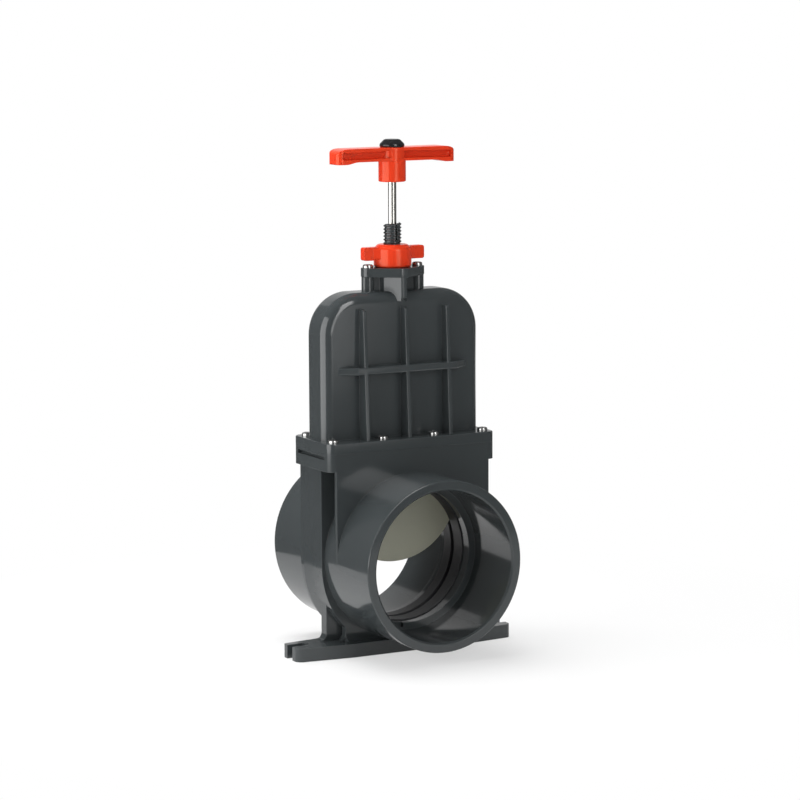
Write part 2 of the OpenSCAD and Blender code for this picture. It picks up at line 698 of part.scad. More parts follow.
module lifting_rod() color(STEEL)
    translate([0, blade_y, clevis_top_z - rod_grip_in_clevis])
        cylinder(h = rod_top_z - clevis_top_z + rod_grip_in_clevis, d = rod_d, $fn = 48);

// Front view of the bar: straight on top, with round drooping ends.
module bar_face() {
    end = bar_l / 2;
    droop_from = 14;
    droop_to = 7;
    tip_r = 1;
    top_r = 5;
    polygon(outline(both_sides([
        [end - droop_from, bar_bottom_z, 14], [end - droop_to, bar_bottom_z - bar_droop, 6],
        [end, bar_bottom_z - bar_droop, tip_r], [end, bar_top_z, top_r]])));
}
// The bar with its four upright corners rounded.
module bar() {
    corner_r = 4;
    intersection() {
        upright(-bar_t / 2, bar_t / 2) bar_face();
        translate([0, 0, bar_bottom_z - 2 * bar_droop]) linear_extrude(2 * bar_h) polygon(box_outline(bar_l, bar_t, corner_r));
    }
}
module bar_channel() {
    from = 0;
    to = bar_l / 2 - 3.8;
    rim = 2.2;
    r = 1.6;
    upright(-bar_channel_depth, bar_channel_depth) polygon(outline([
        [from, bar_bottom_z + rim, r], [to, bar_bottom_z + rim, r],
        [to, bar_top_z - rim, r], [from, bar_top_z - rim, r]], 4));
}
module tee_handle() color(RED) translate([0, blade_y, 0]) difference() {
    step = 0.4;
    union() {
        translate([0, 0, hub_bottom_z]) cylinder(h = hub_skirt_h, d = hub_d);
        translate([0, 0, bar_bottom_z - eps]) cylinder(h = bar_h + eps, d = hub_d - 2 * step);
        difference() {
            bar();
            for (side = [0, 1], face = [-1, 1]) mirror([side, 0, 0]) translate([0, face * bar_t / 2, 0]) bar_channel();
        }
    }
    translate([0, 0, hub_bottom_z - eps]) cylinder(h = hub_hollow_h + eps, d = hub_hollow_d, $fn = 72);
    translate([0, 0, hub_bottom_z]) cylinder(h = bar_h + hub_skirt_h, d = rod_d, $fn = 48);
    translate([0, 0, bar_top_z - nut_pocket_h]) cylinder(h = nut_pocket_h + eps, d = nut_pocket_d, $fn = 64);
}
module handle_nut() color(STEEL) translate([0, blade_y, bar_top_z - nut_pocket_h]) difference() {
    cylinder(h = handle_nut_h, d = handle_nut_across / cos(30), $fn = 6);
    translate([0, 0, -1]) cylinder(h = handle_nut_h + 2, d = rod_d, $fn = 48);
}
// Flat-topped cone on a short skirt, with rounded shoulders.
module handle_cap() color([0.03, 0.03, 0.035]) translate([0, blade_y, bar_top_z]) {
    r = cap_d / 2;
    skirt = 0.4 * cap_h;
    top_r = 0.6 * r;
    rotate_extrude() intersection() {
        polygon(outline([[-r, 0, 0], [r, 0, 0], [r, skirt, 1.6], [top_r, cap_h, 2.6], [-top_r, cap_h, 2.6], [-r, skirt, 1.6]], 8));
        square([2 * r, 3 * cap_h]);
    }
}

// ---- Screws ----

module screw(length) color(STEEL) {
    r = screw_head_d / 2;
    rim = 0.45 * screw_head_h;
    crown = [for (a = [0:15:90]) [r * cos(a), rim + (screw_head_h - rim) * sin(a)]];
    rotate_extrude($fn = 40) polygon(concat([[0, 0], [r, 0]], crown));
    translate([0, 0, -length]) cylinder(h = length + eps, d = screw_d, $fn = 32);
}

valve_body();
bonnet_gasket();
bonnet();
front_seat_seal();
rear_seat_seal();
gate_blade();
rod_clevis();
clevis_pin();
lifting_rod();
gland_packing();
gland_flange();
gland_wing_nut();
tee_handle();
handle_nut();
handle_cap();
for (i = [0:len(FLANGE_SCREWS) - 1])
    at_each([FLANGE_SCREWS[i]], bonnet_deck_z) screw(flange_screw_l);
for (i = [0:len(GLAND_SCREWS) - 1])
    at_each([GLAND_SCREWS[i]], gland_top_z) screw(gland_screw_l);
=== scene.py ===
"""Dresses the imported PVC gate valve: moulded detail, finishes, studio and camera.

Sizes are in millimetres where nothing else is said, and every finished piece has
its place in its mesh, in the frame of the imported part.
"""

from __future__ import annotations

import json
import logging
import math
from collections.abc import Callable, Iterator, Mapping, Sequence
from contextlib import contextmanager
from dataclasses import dataclass
from enum import Enum

import bmesh
import bpy
from mathutils import Matrix, Vector

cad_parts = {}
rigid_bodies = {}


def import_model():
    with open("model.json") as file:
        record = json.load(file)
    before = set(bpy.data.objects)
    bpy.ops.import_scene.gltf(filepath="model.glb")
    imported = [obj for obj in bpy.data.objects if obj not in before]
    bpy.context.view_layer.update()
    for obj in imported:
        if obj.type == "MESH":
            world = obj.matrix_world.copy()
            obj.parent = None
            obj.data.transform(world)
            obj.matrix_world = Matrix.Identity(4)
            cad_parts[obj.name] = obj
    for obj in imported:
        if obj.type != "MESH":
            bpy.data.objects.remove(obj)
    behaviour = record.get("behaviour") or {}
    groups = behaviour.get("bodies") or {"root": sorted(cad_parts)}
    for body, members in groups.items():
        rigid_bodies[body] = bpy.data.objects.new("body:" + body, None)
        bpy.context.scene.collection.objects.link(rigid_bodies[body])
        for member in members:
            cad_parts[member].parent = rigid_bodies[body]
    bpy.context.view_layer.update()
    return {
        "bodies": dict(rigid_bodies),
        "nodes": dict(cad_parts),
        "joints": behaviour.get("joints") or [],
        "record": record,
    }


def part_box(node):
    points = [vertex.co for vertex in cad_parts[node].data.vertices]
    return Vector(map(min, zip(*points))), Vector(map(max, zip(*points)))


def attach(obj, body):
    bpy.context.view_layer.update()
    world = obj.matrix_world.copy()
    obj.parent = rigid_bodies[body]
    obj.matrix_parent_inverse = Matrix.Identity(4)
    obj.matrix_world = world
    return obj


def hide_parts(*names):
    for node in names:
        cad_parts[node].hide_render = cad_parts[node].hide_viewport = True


MM = 0.001
NEAR = 0.1  # how far a corner may lie from its nominal place and still be picked
LONG = 1.0  # an edge that rises by more than this is an upright one
WELD = 0.002  # corners closer than this are merged on a finished piece
CAD_WELD = 0.01  # and on a mesh taken over from a CAD node
CAD_FLAT_DEG = 0.4  # faces that meet at less than this are one face
LOG = logging.getLogger("gate_valve")

Triple = tuple[float, float, float]
PointTest = Callable[[Vector], bool]
EdgeTest = Callable[[Vector, Vector], bool]


class Body(Enum):
    """The moving bodies of the valve."""

    VALVE = "valve"
    GATE = "gate"
    WING_NUT = "wing_nut"


class Axis(Enum):
    """The direction along which a round or flat blank is drawn out."""

    Y = (-math.pi / 2, 0.0, 0.0)
    Z = (0.0, 0.0, 0.0)


class Join(Enum):
    """What a second blank does to the first one."""

    ADD = "UNION"
    CUT = "DIFFERENCE"
    KEEP = "INTERSECT"


# ---------------------------------------------------------------- modelling


def only(obj: bpy.types.Object) -> None:
    """Makes obj the one selected and active object, in object mode."""
    if bpy.context.mode != "OBJECT":
        bpy.ops.object.mode_set(mode="OBJECT")
    bpy.ops.object.select_all(action="DESELECT")
    obj.select_set(True)
    bpy.context.view_layer.objects.active = obj


def above(height: float) -> EdgeTest:
    """Picks the edges that lie no lower than a height."""
    return lambda a, b: min(a.z, b.z) > height - NEAR


def below(height: float) -> EdgeTest:
    """Picks the edges that lie no higher than a height."""
    return lambda a, b: max(a.z, b.z) < height + NEAR


def beyond(side: int, y: float) -> EdgeTest:
    """Picks the edges that lie beyond a plane across the pipe, towards the front or back."""
    return lambda a, b: min(side * a.y, side * b.y) > side * y


def upright(a: Vector, b: Vector) -> bool:
    """Whether an edge runs upwards."""
    return abs(a.z - b.z) > LONG


def level(a: Vector, b: Vector) -> bool:
    """Whether both ends of an edge lie at one height."""
    return abs(a.z - b.z) < NEAR


class Blank:
    """A mesh under Blender's modelling operators, measured in millimetres."""

    def __init__(self, obj: bpy.types.Object) -> None:
        """Takes over an object whose transform is already in its mesh."""
        self.obj = obj
        self.solver = "MANIFOLD"

    @classmethod
    def _adopt(cls, name: str, scale: Sequence[float] = (1, 1, 1)) -> Blank:
        """Names the primitive just added and puts its transform into its mesh."""
        obj = bpy.context.active_object
        obj.name = name
        obj.data.name = name
        obj.scale = scale
        bpy.ops.object.transform_apply(location=True, rotation=True, scale=True)
        return cls(obj)

    @classmethod
    def block(cls, name: str, low: Sequence[float], high: Sequence[float]) -> Blank:
        """Adds a block between two corners.

        Args:
            name: The new object's name.
            low: Its lowest corner.
            high: Its highest corner.

        Returns:
            The new blank.
        """
        bpy.ops.object.select_all(action="DESELECT")
        middle = [(a + b) / 2 * MM for a, b in zip(low, high)]
        bpy.ops.mesh.primitive_cube_add(size=1, location=middle)
        return cls._adopt(name, [(b - a) * MM for a, b in zip(low, high)])

    @classmethod
    def rod(
        cls,
        name: str,
        radius: float,
        start: float,
        end: float,
        at: Sequence[float] = (0, 0),
        axis: Axis = Axis.Z,
        sides: int = 64,
    ) -> Blank:
        """Adds a round bar along an axis.

        Args:
            name: The new object's name.
            radius: Its radius.
            start: Where it starts along the axis.
            end: Where it ends along the axis.
            at: Its place across the axis, in the order x, y, z with the axis left out.
            axis: The axis it runs along.
            sides: How many sides the circle has.

        Returns:
            The new blank.
        """
        place = list(at)
        place.insert("XYZ".index(axis.name), (start + end) / 2)
        bpy.ops.object.select_all(action="DESELECT")
        bpy.ops.mesh.primitive_cylinder_add(
            vertices=sides,
            radius=radius * MM,
            depth=(end - start) * MM,
            location=[c * MM for c in place],
            rotation=axis.value,
        )
        return cls._adopt(name)

    @classmethod
    def plate(
        cls,
        name: str,
        outline: Sequence[Sequence[float]],
        low: float,
        high: float,
        axis: Axis = Axis.Z,
    ) -> Blank:
        """Adds a flat outline and extrudes it along an axis.

        Args:
            name: The new object's name.
            outline: The outline's corners, anticlockwise, in the two axes left over.
            low: Where the plate starts along the axis.
            high: Where it ends.
            axis: The axis across the plate.

        Returns:
            The new blank.
        """
        bpy.ops.object.select_all(action="DESELECT")
        bpy.ops.mesh.primitive_circle_add(vertices=len(outline), radius=MM, fill_type="NGON")
        blank = cls._adopt(name)
        index = "XYZ".index(axis.name)
        for vertex, corner in zip(blank.obj.data.vertices, outline):
            place = list(corner)
            place.insert(index, low)
            vertex.co = Vector(place) * MM
        step = [0.0, 0.0, 0.0]
        step[index] = (high - low) * MM
        with blank.editing("FACE"):
            bpy.ops.mesh.select_all(action="SELECT")
            bpy.ops.mesh.extrude_region_move(TRANSFORM_OT_translate={"value": step})
        return blank.face_out()

    @classmethod
    def from_node(cls, name: str, node: bpy.types.Object) -> Blank:
        """Copies a CAD node's mesh and merges its loose triangles into clean faces.

        Args:
            name: The new object's name.
            node: The CAD node, which is left alone.

        Returns:
            The new blank.
        """
        obj = bpy.data.objects.new(name, node.data.copy())
        obj.data.materials.clear()
        bpy.context.scene.collection.objects.link(obj)
        only(obj)
        if obj.data.has_custom_normals:
            bpy.ops.mesh.customdata_custom_splitnormals_clear()
        blank = cls(obj)
        blank.solver = "EXACT"
        with blank.editing("FACE"):
            bpy.ops.mesh.select_all(action="SELECT")
            bpy.ops.mesh.remove_doubles(threshold=CAD_WELD * MM)
            bpy.ops.mesh.dissolve_limited(angle_limit=math.radians(CAD_FLAT_DEG))
        return blank

    @contextmanager
    def editing(self, kind: str) -> Iterator[bmesh.types.BMesh]:
        """Opens edit mode with nothing selected, and closes it again.

        Args:
            kind: What is selected: VERT, EDGE or FACE.

        Yields:
            The mesh in edit mode.
        """
        only(self.obj)
        bpy.ops.object.mode_set(mode="EDIT")
        bpy.ops.mesh.select_mode(type=kind)
        bpy.ops.mesh.select_all(action="DESELECT")
        yield bmesh.from_edit_mesh(self.obj.data)
        bpy.ops.object.mode_set(mode="OBJECT")

    @contextmanager
    def corners(self, test: PointTest) -> Iterator[None]:
        """Opens edit mode with the corners selected that pass a test, and closes it again.

        Args:
            test: Whether a point, in millimetres, is selected.

        Yields:
            Nothing.
        """
        with self.editing("VERT") as mesh:
            for vertex in mesh.verts:
                vertex.select_set(test(vertex.co / MM))
            mesh.select_flush_mode()
            bmesh.update_edit_mesh(self.obj.data)
            yield

    def face_out(self) -> Blank:
        """Turns every face of the closed shape outwards."""
        with self.editing("FACE"):
            bpy.ops.mesh.select_all(action="SELECT")
            bpy.ops.mesh.normals_make_consistent(inside=False)
        return self

    def round_edges(
        self, size: float, test: EdgeTest, segments: int = 3, profile: float = 0.5
    ) -> Blank:
        """Bevels the edges that pass a test.

        Args:
            size: The bevel's width.
            test: Whether an edge between two points, in millimetres, is bevelled.
            segments: How many steps the round has.
            profile: Its shape, 0.5 for a round.

        Returns:
            The same blank.
        """
        with self.editing("EDGE") as mesh:
            for edge in mesh.edges:
                edge.select_set(test(*(v.co / MM for v in edge.verts)))
            bmesh.update_edit_mesh(self.obj.data)
            bpy.ops.mesh.bevel(
                offset=size * MM,
                segments=segments,
                profile=profile,
                affect="EDGES",
                clamp_overlap=True,
            )
        return self

    def soften(self, size: float, angle: float = 35, segments: int = 2) -> Blank:
        """Bevels every edge sharper than an angle, by a modifier that is applied.

        Args:
            size: The bevel's width.
            angle: The least angle between the two faces, in degrees.
            segments: How many steps the round has.

        Returns:
            The same blank.
        """
        only(self.obj)
        bevel = self.obj.modifiers.new("soft_edges", "BEVEL")
        bevel.limit_method = "ANGLE"
        bevel.angle_limit = math.radians(angle)
        bevel.width = size * MM
        bevel.segments = segments
        bevel.use_clamp_overlap = True
        bevel.miter_outer = "MITER_ARC"
        bpy.ops.object.modifier_apply(modifier=bevel.name)
        return self

    def combine(self, other: Blank, how: Join) -> Blank:
        """Adds, cuts or intersects another blank, which is used up.

        Args:
            other: The second blank.
            how: What it does.

        Returns:
            The same blank.
        """
        only(self.obj)
        boolean = self.obj.modifiers.new("combine", "BOOLEAN")
        boolean.operation = how.value
        boolean.solver = self.solver
        boolean.object = other.obj
        bpy.ops.object.modifier_apply(modifier=boolean.name)
        bpy.data.objects.remove(other.obj)
        return self

    def add(self, other: Blank) -> Blank:
        """Joins another blank onto this one."""
        return self.combine(other, Join.ADD)

    def cut(self, other: Blank) -> Blank:
        """Takes another blank out of this one."""
        return self.combine(other, Join.CUT)

    def push(self, test: PointTest, step: Sequence[float]) -> Blank:
        """Moves the corners that pass a test.

        Args:
            test: Whether a point, in millimetres, moves.
            step: How far it moves.

        Returns:
            The same blank.
        """
        with self.corners(test):
            bpy.ops.transform.translate(value=[c * MM for c in step])
        return self

    def taper(self, test: PointTest, factor: float) -> Blank:
        """Draws the corners that pass a test in towards their middle.

        Args:
            test: Whether a point, in millimetres, moves.
            factor: How much of its distance from the middle is left.

        Returns:
            The same blank.
        """
        with self.corners(test):
            bpy.ops.transform.resize(value=(factor, factor, factor))
        return self

    def place(self, step: Sequence[float], turn_deg: float = 0) -> Blank:
        """Turns the blank about the frame's Z axis and then moves it.

        Args:
            step: How far it moves.
            turn_deg: How far it turns.

        Returns:
            The same blank.
        """
        turn = Matrix.Rotation(math.radians(turn_deg), 4, "Z")
        self.obj.data.transform(Matrix.Translation(Vector(step) * MM) @ turn)
        return self

    def copy(self, name: str) -> Blank:
        """Copies the blank with its own mesh.

        Args:
            name: The copy's name.

        Returns:
            The copy.
        """
        obj = self.obj.copy()
        obj.data = self.obj.data.copy()
        obj.name = obj.data.name = name
        bpy.context.scene.collection.objects.link(obj)
        return Blank(obj)

    def smooth(self, angle: float = 32) -> Blank:
        """Shades round faces smooth and keeps flat ones flat.

        Args:
            angle: The widest angle that is shaded over, in degrees.

        Returns:
            The same blank.
        """
        with self.editing("FACE"):
            bpy.ops.mesh.select_all(action="SELECT")
            bpy.ops.mesh.remove_doubles(threshold=WELD * MM)
        only(self.obj)
        bpy.ops.object.shade_smooth_by_angle(angle=math.radians(angle))
        weighted = self.obj.modifiers.new("flat_faces", "WEIGHTED_NORMAL")
        weighted.keep_sharp = True
        weighted.weight = 80
        bpy.ops.object.modifier_apply(modifier=weighted.name)
        return self


# ---------------------------------------------------------------- materials

WHITE = (1.0, 1.0, 1.0, 1.0)
MIX_AMOUNT, MIX_FIRST, MIX_SECOND, MIX_RESULT = 0, 6, 7, 2  # a colour Mix node's sockets


class Term:
    """A shader socket, or a number, that adds Math nodes when it is used in an expression."""

    def __init__(self, graph: Graph, value: bpy.types.NodeSocket | float) -> None:
        """Wraps a socket or number for a node graph."""
        self.graph = graph
        self.value = value

    def math(self, operation: str, *others: Term | float, clamp: bool = False) -> Term:
        """Adds a Math node.

        Args:
            operation: The node's operation.
            others: The other inputs.
            clamp: Whether the result is held between 0 and 1.

        Returns:
            The node's result.
        """
        settings = {"operation": operation, "use_clamp": clamp}
        return self.graph.node("ShaderNodeMath", settings, dict(enumerate((self, *others))))

    def __add__(self, other: Term | float) -> Term:
        """Adds."""
        return self.math("ADD", other)

    __radd__ = __add__

    def __mul__(self, other: Term | float) -> Term:
        """Multiplies."""
        return self.math("MULTIPLY", other)

    __rmul__ = __mul__

    def __sub__(self, other: Term | float) -> Term:
        """Takes another value away."""
        return self.math("SUBTRACT", other)

    def __rsub__(self, other: float) -> Term:
        """Takes this value away from a number."""
        return Term(self.graph, other).math("SUBTRACT", self)

    def held(self) -> Term:
        """Holds the value between 0 and 1."""
        return self.math("ADD", 0.0, clamp=True)


@dataclass(frozen=True)
class Grain:
    """A noise pattern: feature size, finer octaves, squeeze on each axis, their strength."""

    size: float
    detail: float = 2
    squeeze: Triple = (1.0, 1.0, 1.0)
    rough: float = 0.5


class Graph:
    """A node tree that is written as expressions."""

    def __init__(self, tree: bpy.types.NodeTree) -> None:
        """Takes over a node tree."""
        self.tree = tree

    def node(
        self,
        kind: str,
        settings: Mapping[str, object],
        inputs: Mapping[str | int, object],
        output: str | int = 0,
    ) -> Term:
        """Adds a node.

        Args:
            kind: The node's type.
            settings: Its settings.
            inputs: Its sockets' values or links, by name or number.
            output: Which output is returned.

        Returns:
            The output, ready for an expression.
        """
        node = self.tree.nodes.new(kind)
        for key, value in settings.items():
            setattr(node, key, value)
        for key, value in inputs.items():
            self.feed(node.inputs[key], value)
        return Term(self, node.outputs[output])

    def feed(self, socket: bpy.types.NodeSocket, value: object) -> None:
        """Links or sets one socket."""
        if isinstance(value, Term):
            value = value.value
        if isinstance(value, bpy.types.NodeSocket):
            self.tree.links.new(value, socket)
        else:
            socket.default_value = value

    def show(self, shader: Term) -> None:
        """Makes a shader the one that the tree puts out."""
        out = next(n for n in self.tree.nodes if n.type.startswith("OUTPUT"))
        self.feed(out.inputs["Surface"], shader)

    def ray(self, kind: str) -> Term:
        """1 for rays of a kind and 0 for the others."""
        return self.node("ShaderNodeLightPath", {}, {}, kind)

    def seen(self) -> Term:
        """1 for rays that show a thing straight, mirrored or through glass, 0 for light."""
        straight, mirrored = self.ray("Is Camera Ray"), self.ray("Is Glossy Ray")
        return (straight + mirrored + self.ray("Is Transmission Ray")).held()


class Recipe(Graph):
    """Builds one procedural material around a single Principled shader."""

    def __init__(self, name: str) -> None:
        """Starts an empty material.

        Args:
            name: The material's name.
        """
        self.material = bpy.data.materials.new(name)
        self.material.use_nodes = True
        super().__init__(self.material.node_tree)
        self.shader = next(n for n in self.tree.nodes if n.type == "BSDF_PRINCIPLED")
        self.place = self.node("ShaderNodeTexCoord", {}, {}, "Object")

    def set(self, **sockets: object) -> None:
        """Feeds the Principled shader's sockets, with spaces written as underscores."""
        for key, value in sockets.items():
            self.feed(self.shader.inputs[key.replace("_", " ")], value)

    def noise(self, grain: Grain) -> Term:
        """Adds a noise pattern, a value round 0.5."""
        spread = {"Vector": self.place, "Scale": grain.squeeze}
        return self.node(
            "ShaderNodeTexNoise",
            {"noise_dimensions": "3D"},
            {
                "Vector": self.node("ShaderNodeMapping", {}, spread),
                "Scale": 1 / (grain.size * MM),
                "Detail": grain.detail,
                "Roughness": grain.rough,
            },
        )

    def between(self, amount: Term, first: Term | Sequence[float], second: Sequence[float]) -> Term:
        """Mixes two colours by an amount.

        Args:
            amount: How much of the second colour there is.
            first: The first colour, or a pattern of colours.
            second: The second colour.

        Returns:
            The mixed colour.
        """
        start = first if isinstance(first, Term) else (*first, 1.0)
        settings = {"data_type": "RGBA", "clamp_factor": True}
        inputs = {MIX_AMOUNT: amount, MIX_FIRST: start, MIX_SECOND: (*second, 1.0)}
        return self.node("ShaderNodeMix", settings, inputs, MIX_RESULT)

    def tinted(self, amount: Term, colour: Sequence[float], least: float, most: float) -> Term:
        """A colour that is made darker or lighter by an amount.

        Args:
            amount: The pattern that changes it.
            colour: The colour.
            least: Its factor where the pattern is 0.
            most: Its factor where the pattern is 1.

        Returns:
            The changing colour.
        """
        return self.between(amount, shade(colour, least), shade(colour, most))

    def varied(self, base: float, *changes: tuple[Term, float]) -> Term:
        """A roughness that patterns change.

        Args:
            base: The roughness in the mean.
            changes: Each pattern with how much it changes the roughness.

        Returns:
            The changing roughness, held between 0 and 1.
        """
        first, *others = [(pattern - 0.5) * change for pattern, change in changes]
        return (sum(others, first) + base).held()

    def bump(self, height: Term, depth: float, under: Term) -> Term:
        """Adds a bump.

        Args:
            height: The height pattern, 0 to 1.
            depth: How deep the pattern is.
            under: The normal it lies on.

        Returns:
            The bumped normal.
        """
        inputs = {"Height": height, "Distance": depth * MM, "Strength": 1.0, "Normal": under}
        return self.node("ShaderNodeBump", {}, inputs)

    def round_normal(self, radius: float) -> Term:
        """The normal as if every edge had a small radius."""
        return self.node("ShaderNodeBevel", {"samples": 6}, {"Radius": radius * MM})

    def edges(self, rounded: Term, width: float) -> Term:
        """A mask that is 1 on edges, where the rounded normal leaves the face's own.

        Args:
            rounded: The rounded normal.
            width: How much the two normals differ where the mask is full.

        Returns:
            The mask.
        """
        flat = self.node("ShaderNodeNewGeometry", {}, {}, "Normal")
        settings = {"operation": "DOT_PRODUCT"}
        match = self.node("ShaderNodeVectorMath", settings, {0: rounded, 1: flat}, "Value")
        return ((1 - match) * (1 / width)).held()


def shade(colour: Sequence[float], factor: float) -> tuple[float, ...]:
    """A colour made darker or lighter by a factor."""
    return tuple(c * factor for c in colour)


@dataclass(frozen=True)
class MouldedPlastic:
    """Injection-moulded plastic with faint flow marks, a fine skin, handled gloss and edges painted
    lighter, partly as wear and partly as a painted highlight.
    """

    name: str
    slot: str
    colour: Triple
    roughness: float
    gloss_change: float = 0.08
    touch_change: float = 0.028
    flow_change: float = 0.10
    speck_share: float = 0.2
    edge_radius: float = 0.3
    edge_width: float = 0.25
    # how much lighter the edges are painted: partly edge wear, partly a painted highlight
    edge_wear_and_highlight: float = 1.25
    edge_share: float = 0.6
    skin_depth: float = 0.010
    ior: float = 1.53
    specular: float = 0.5
    glint: Triple = (1.0, 1.0, 1.0)
    flow: Grain = Grain(38, squeeze=(1.0, 1.0, 0.45))
    speck: Grain = Grain(0.6)
    smear: Grain = Grain(16, 4, (1.0, 1.0, 0.6), 0.6)
    touch: Grain = Grain(2.2)
    skin: Grain = Grain(1.1)

    def material(self) -> bpy.types.Material:
        """Builds the material."""
        r = Recipe(self.name)
        flow, speck = r.noise(self.flow), r.noise(self.speck)
        tone = (flow * (1 - self.speck_share) + speck * self.speck_share).held()
        body = r.tinted(tone, self.colour, 1 - self.flow_change, 1 + self.flow_change)
        rounded = r.round_normal(self.edge_radius)
        # Edges are painted lighter here: partly edge wear, partly a painted highlight along the
        # rounded edges.
        wear_and_highlight_mask = r.edges(rounded, self.edge_width) * self.edge_share
        smear = (r.noise(self.smear), self.gloss_change)
        touch = (r.noise(self.touch), self.touch_change)
        r.set(
            Base_Color=r.between(wear_and_highlight_mask, body, shade(self.colour, self.edge_wear_and_highlight)),
            Roughness=r.varied(self.roughness, smear, touch),
            Normal=r.bump(r.noise(self.skin), self.skin_depth, rounded),
            IOR=self.ior,
            Specular_IOR_Level=self.specular,
            Specular_Tint=(*self.glint, 1.0),
        )
        return r.material


@dataclass(frozen=True)
class BladePlastic:
    """Smooth pale sheet plastic, rubbed along its travel by the seals."""

    name: str = "blade_plastic"
    slot: str = "pale_plastic"
    colour: Triple = (0.37, 0.37, 0.29)
    roughness: float = 0.36
    shades: tuple[float, float] = (0.86, 0.98)
    rub_share: float = 0.3
    rub_change: float = 0.16
    cloud_change: float = 0.08
    rub_depth: float = 0.006
    edge_radius: float = 0.4
    ior: float = 1.5
    cloud: Grain = Grain(30, 3)
    rubs: Grain = Grain(1.4, 3, (1.0, 1.0, 0.03), 0.65)

    def material(self) -> bpy.types.Material:
        """Builds the material."""
        r = Recipe(self.name)
        cloud, rubs = r.noise(self.cloud), r.noise(self.rubs)
        tone = (cloud * (1 - self.rub_share) + rubs * self.rub_share).held()
        changes = (rubs, self.rub_change), (cloud, self.cloud_change)
        r.set(
            Base_Color=r.tinted(tone, self.colour, *self.shades),
            Roughness=r.varied(self.roughness, *changes),
            Normal=r.bump(rubs, self.rub_depth, r.round_normal(self.edge_radius)),
            IOR=self.ior,
        )
        return r.material


@dataclass(frozen=True)
class BrightSteel:
    """Bright stainless steel with fine drawing lines and a faint haze."""

    name: str
    colour: Triple
    slot: str = "bright_steel"
    roughness: float = 0.24
    shades: tuple[float, float] = (0.94, 1.05)
    line_change: float = 0.08
    haze_change: float = 0.05
    line_depth: float = 0.0008
    edge_radius: float = 0.25
    lines: Grain = Grain(0.5, 3, (1.0, 1.0, 0.02), 0.6)
    haze: Grain = Grain(7)

    def material(self) -> bpy.types.Material:
        """Builds the material."""
        r = Recipe(self.name)
        lines, haze = r.noise(self.lines), r.noise(self.haze)
        changes = (lines, self.line_change), (haze, self.haze_change)
        r.set(
            Base_Color=r.tinted(haze, self.colour, *self.shades),
            Metallic=1.0,
            Roughness=r.varied(self.roughness, *changes),
            Normal=r.bump(lines, self.line_depth, r.round_normal(self.edge_radius)),
        )
        return r.material


@dataclass(frozen=True)
class BlackRubber:
    """Matt moulded rubber with a dusty bloom and a fine grain."""

    name: str = "black_rubber"
    slot: str = "black_rubber"
    colour: Triple = (0.02, 0.02, 0.022)
    roughness: float = 0.5
    shades: tuple[float, float] = (1.0, 1.7)
    bloom_change: float = 0.2
    grain_depth: float = 0.012
    edge_radius: float = 0.3
    ior: float = 1.52
    bloom: Grain = Grain(9, 4, rough=0.6)
    grain: Grain = Grain(0.35)

    def material(self) -> bpy.types.Material:
        """Builds the material."""
        r = Recipe(self.name)
        bloom = r.noise(self.bloom)
        grain = r.noise(self.grain)
        r.set(
            Base_Color=r.tinted(bloom, self.colour, *self.shades),
            Roughness=r.varied(self.roughness, (bloom, self.bloom_change)),
            Normal=r.bump(grain, self.grain_depth, r.round_normal(self.edge_radius)),
            IOR=self.ior,
        )
        return r.material


Finish = MouldedPlastic | BladePlastic | BrightSteel | BlackRubber

GREY_PVC = MouldedPlastic(
    "slate_grey_pvc", "grey_pvc", (0.040, 0.046, 0.048), 0.11, edge_radius=0.4, edge_wear_and_highlight=2.2
)
RED_PLASTIC = MouldedPlastic(
    "orange_red_plastic",
    "red_plastic",
    (0.72, 0.045, 0.014),
    0.16,
    flow_change=0.05,
    edge_wear_and_highlight=1.05,
    specular=0.36,
    glint=(1.0, 0.75, 0.5),
)
BLACK_PLASTIC = MouldedPlastic(
    "gloss_black_plastic", "black_plastic", (0.012, 0.012, 0.013), 0.14, specular=0.4
)
BLADE_PLASTIC = BladePlastic()
ROD_STEEL = BrightSteel("drawn_rod_steel", (0.56, 0.55, 0.52))
SCREW_STEEL = BrightSteel("screw_steel", (0.52, 0.52, 0.51), lines=Grain(0.9, 3, rough=0.6))
RUBBER = BlackRubber()


class Paintbox:
    """Makes each finish's material once and hands it out."""

    def __init__(self) -> None:
        """Starts with no material made."""
        self.made: dict[str, bpy.types.Material] = {}

    def of(self, finish: Finish) -> bpy.types.Material:
        """The material of a finish.

        Args:
            finish: The finish.

        Returns:
            Its material, made at the first call.
        """
        if finish.name not in self.made:
            self.made[finish.name] = finish.material()
        return self.made[finish.name]


# ---------------------------------------------------------------- the valve


def span(node: str) -> tuple[Vector, Vector]:
    """A CAD node's lowest and highest corners, in millimetres."""
    low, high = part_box(node)
    return low / MM, high / MM


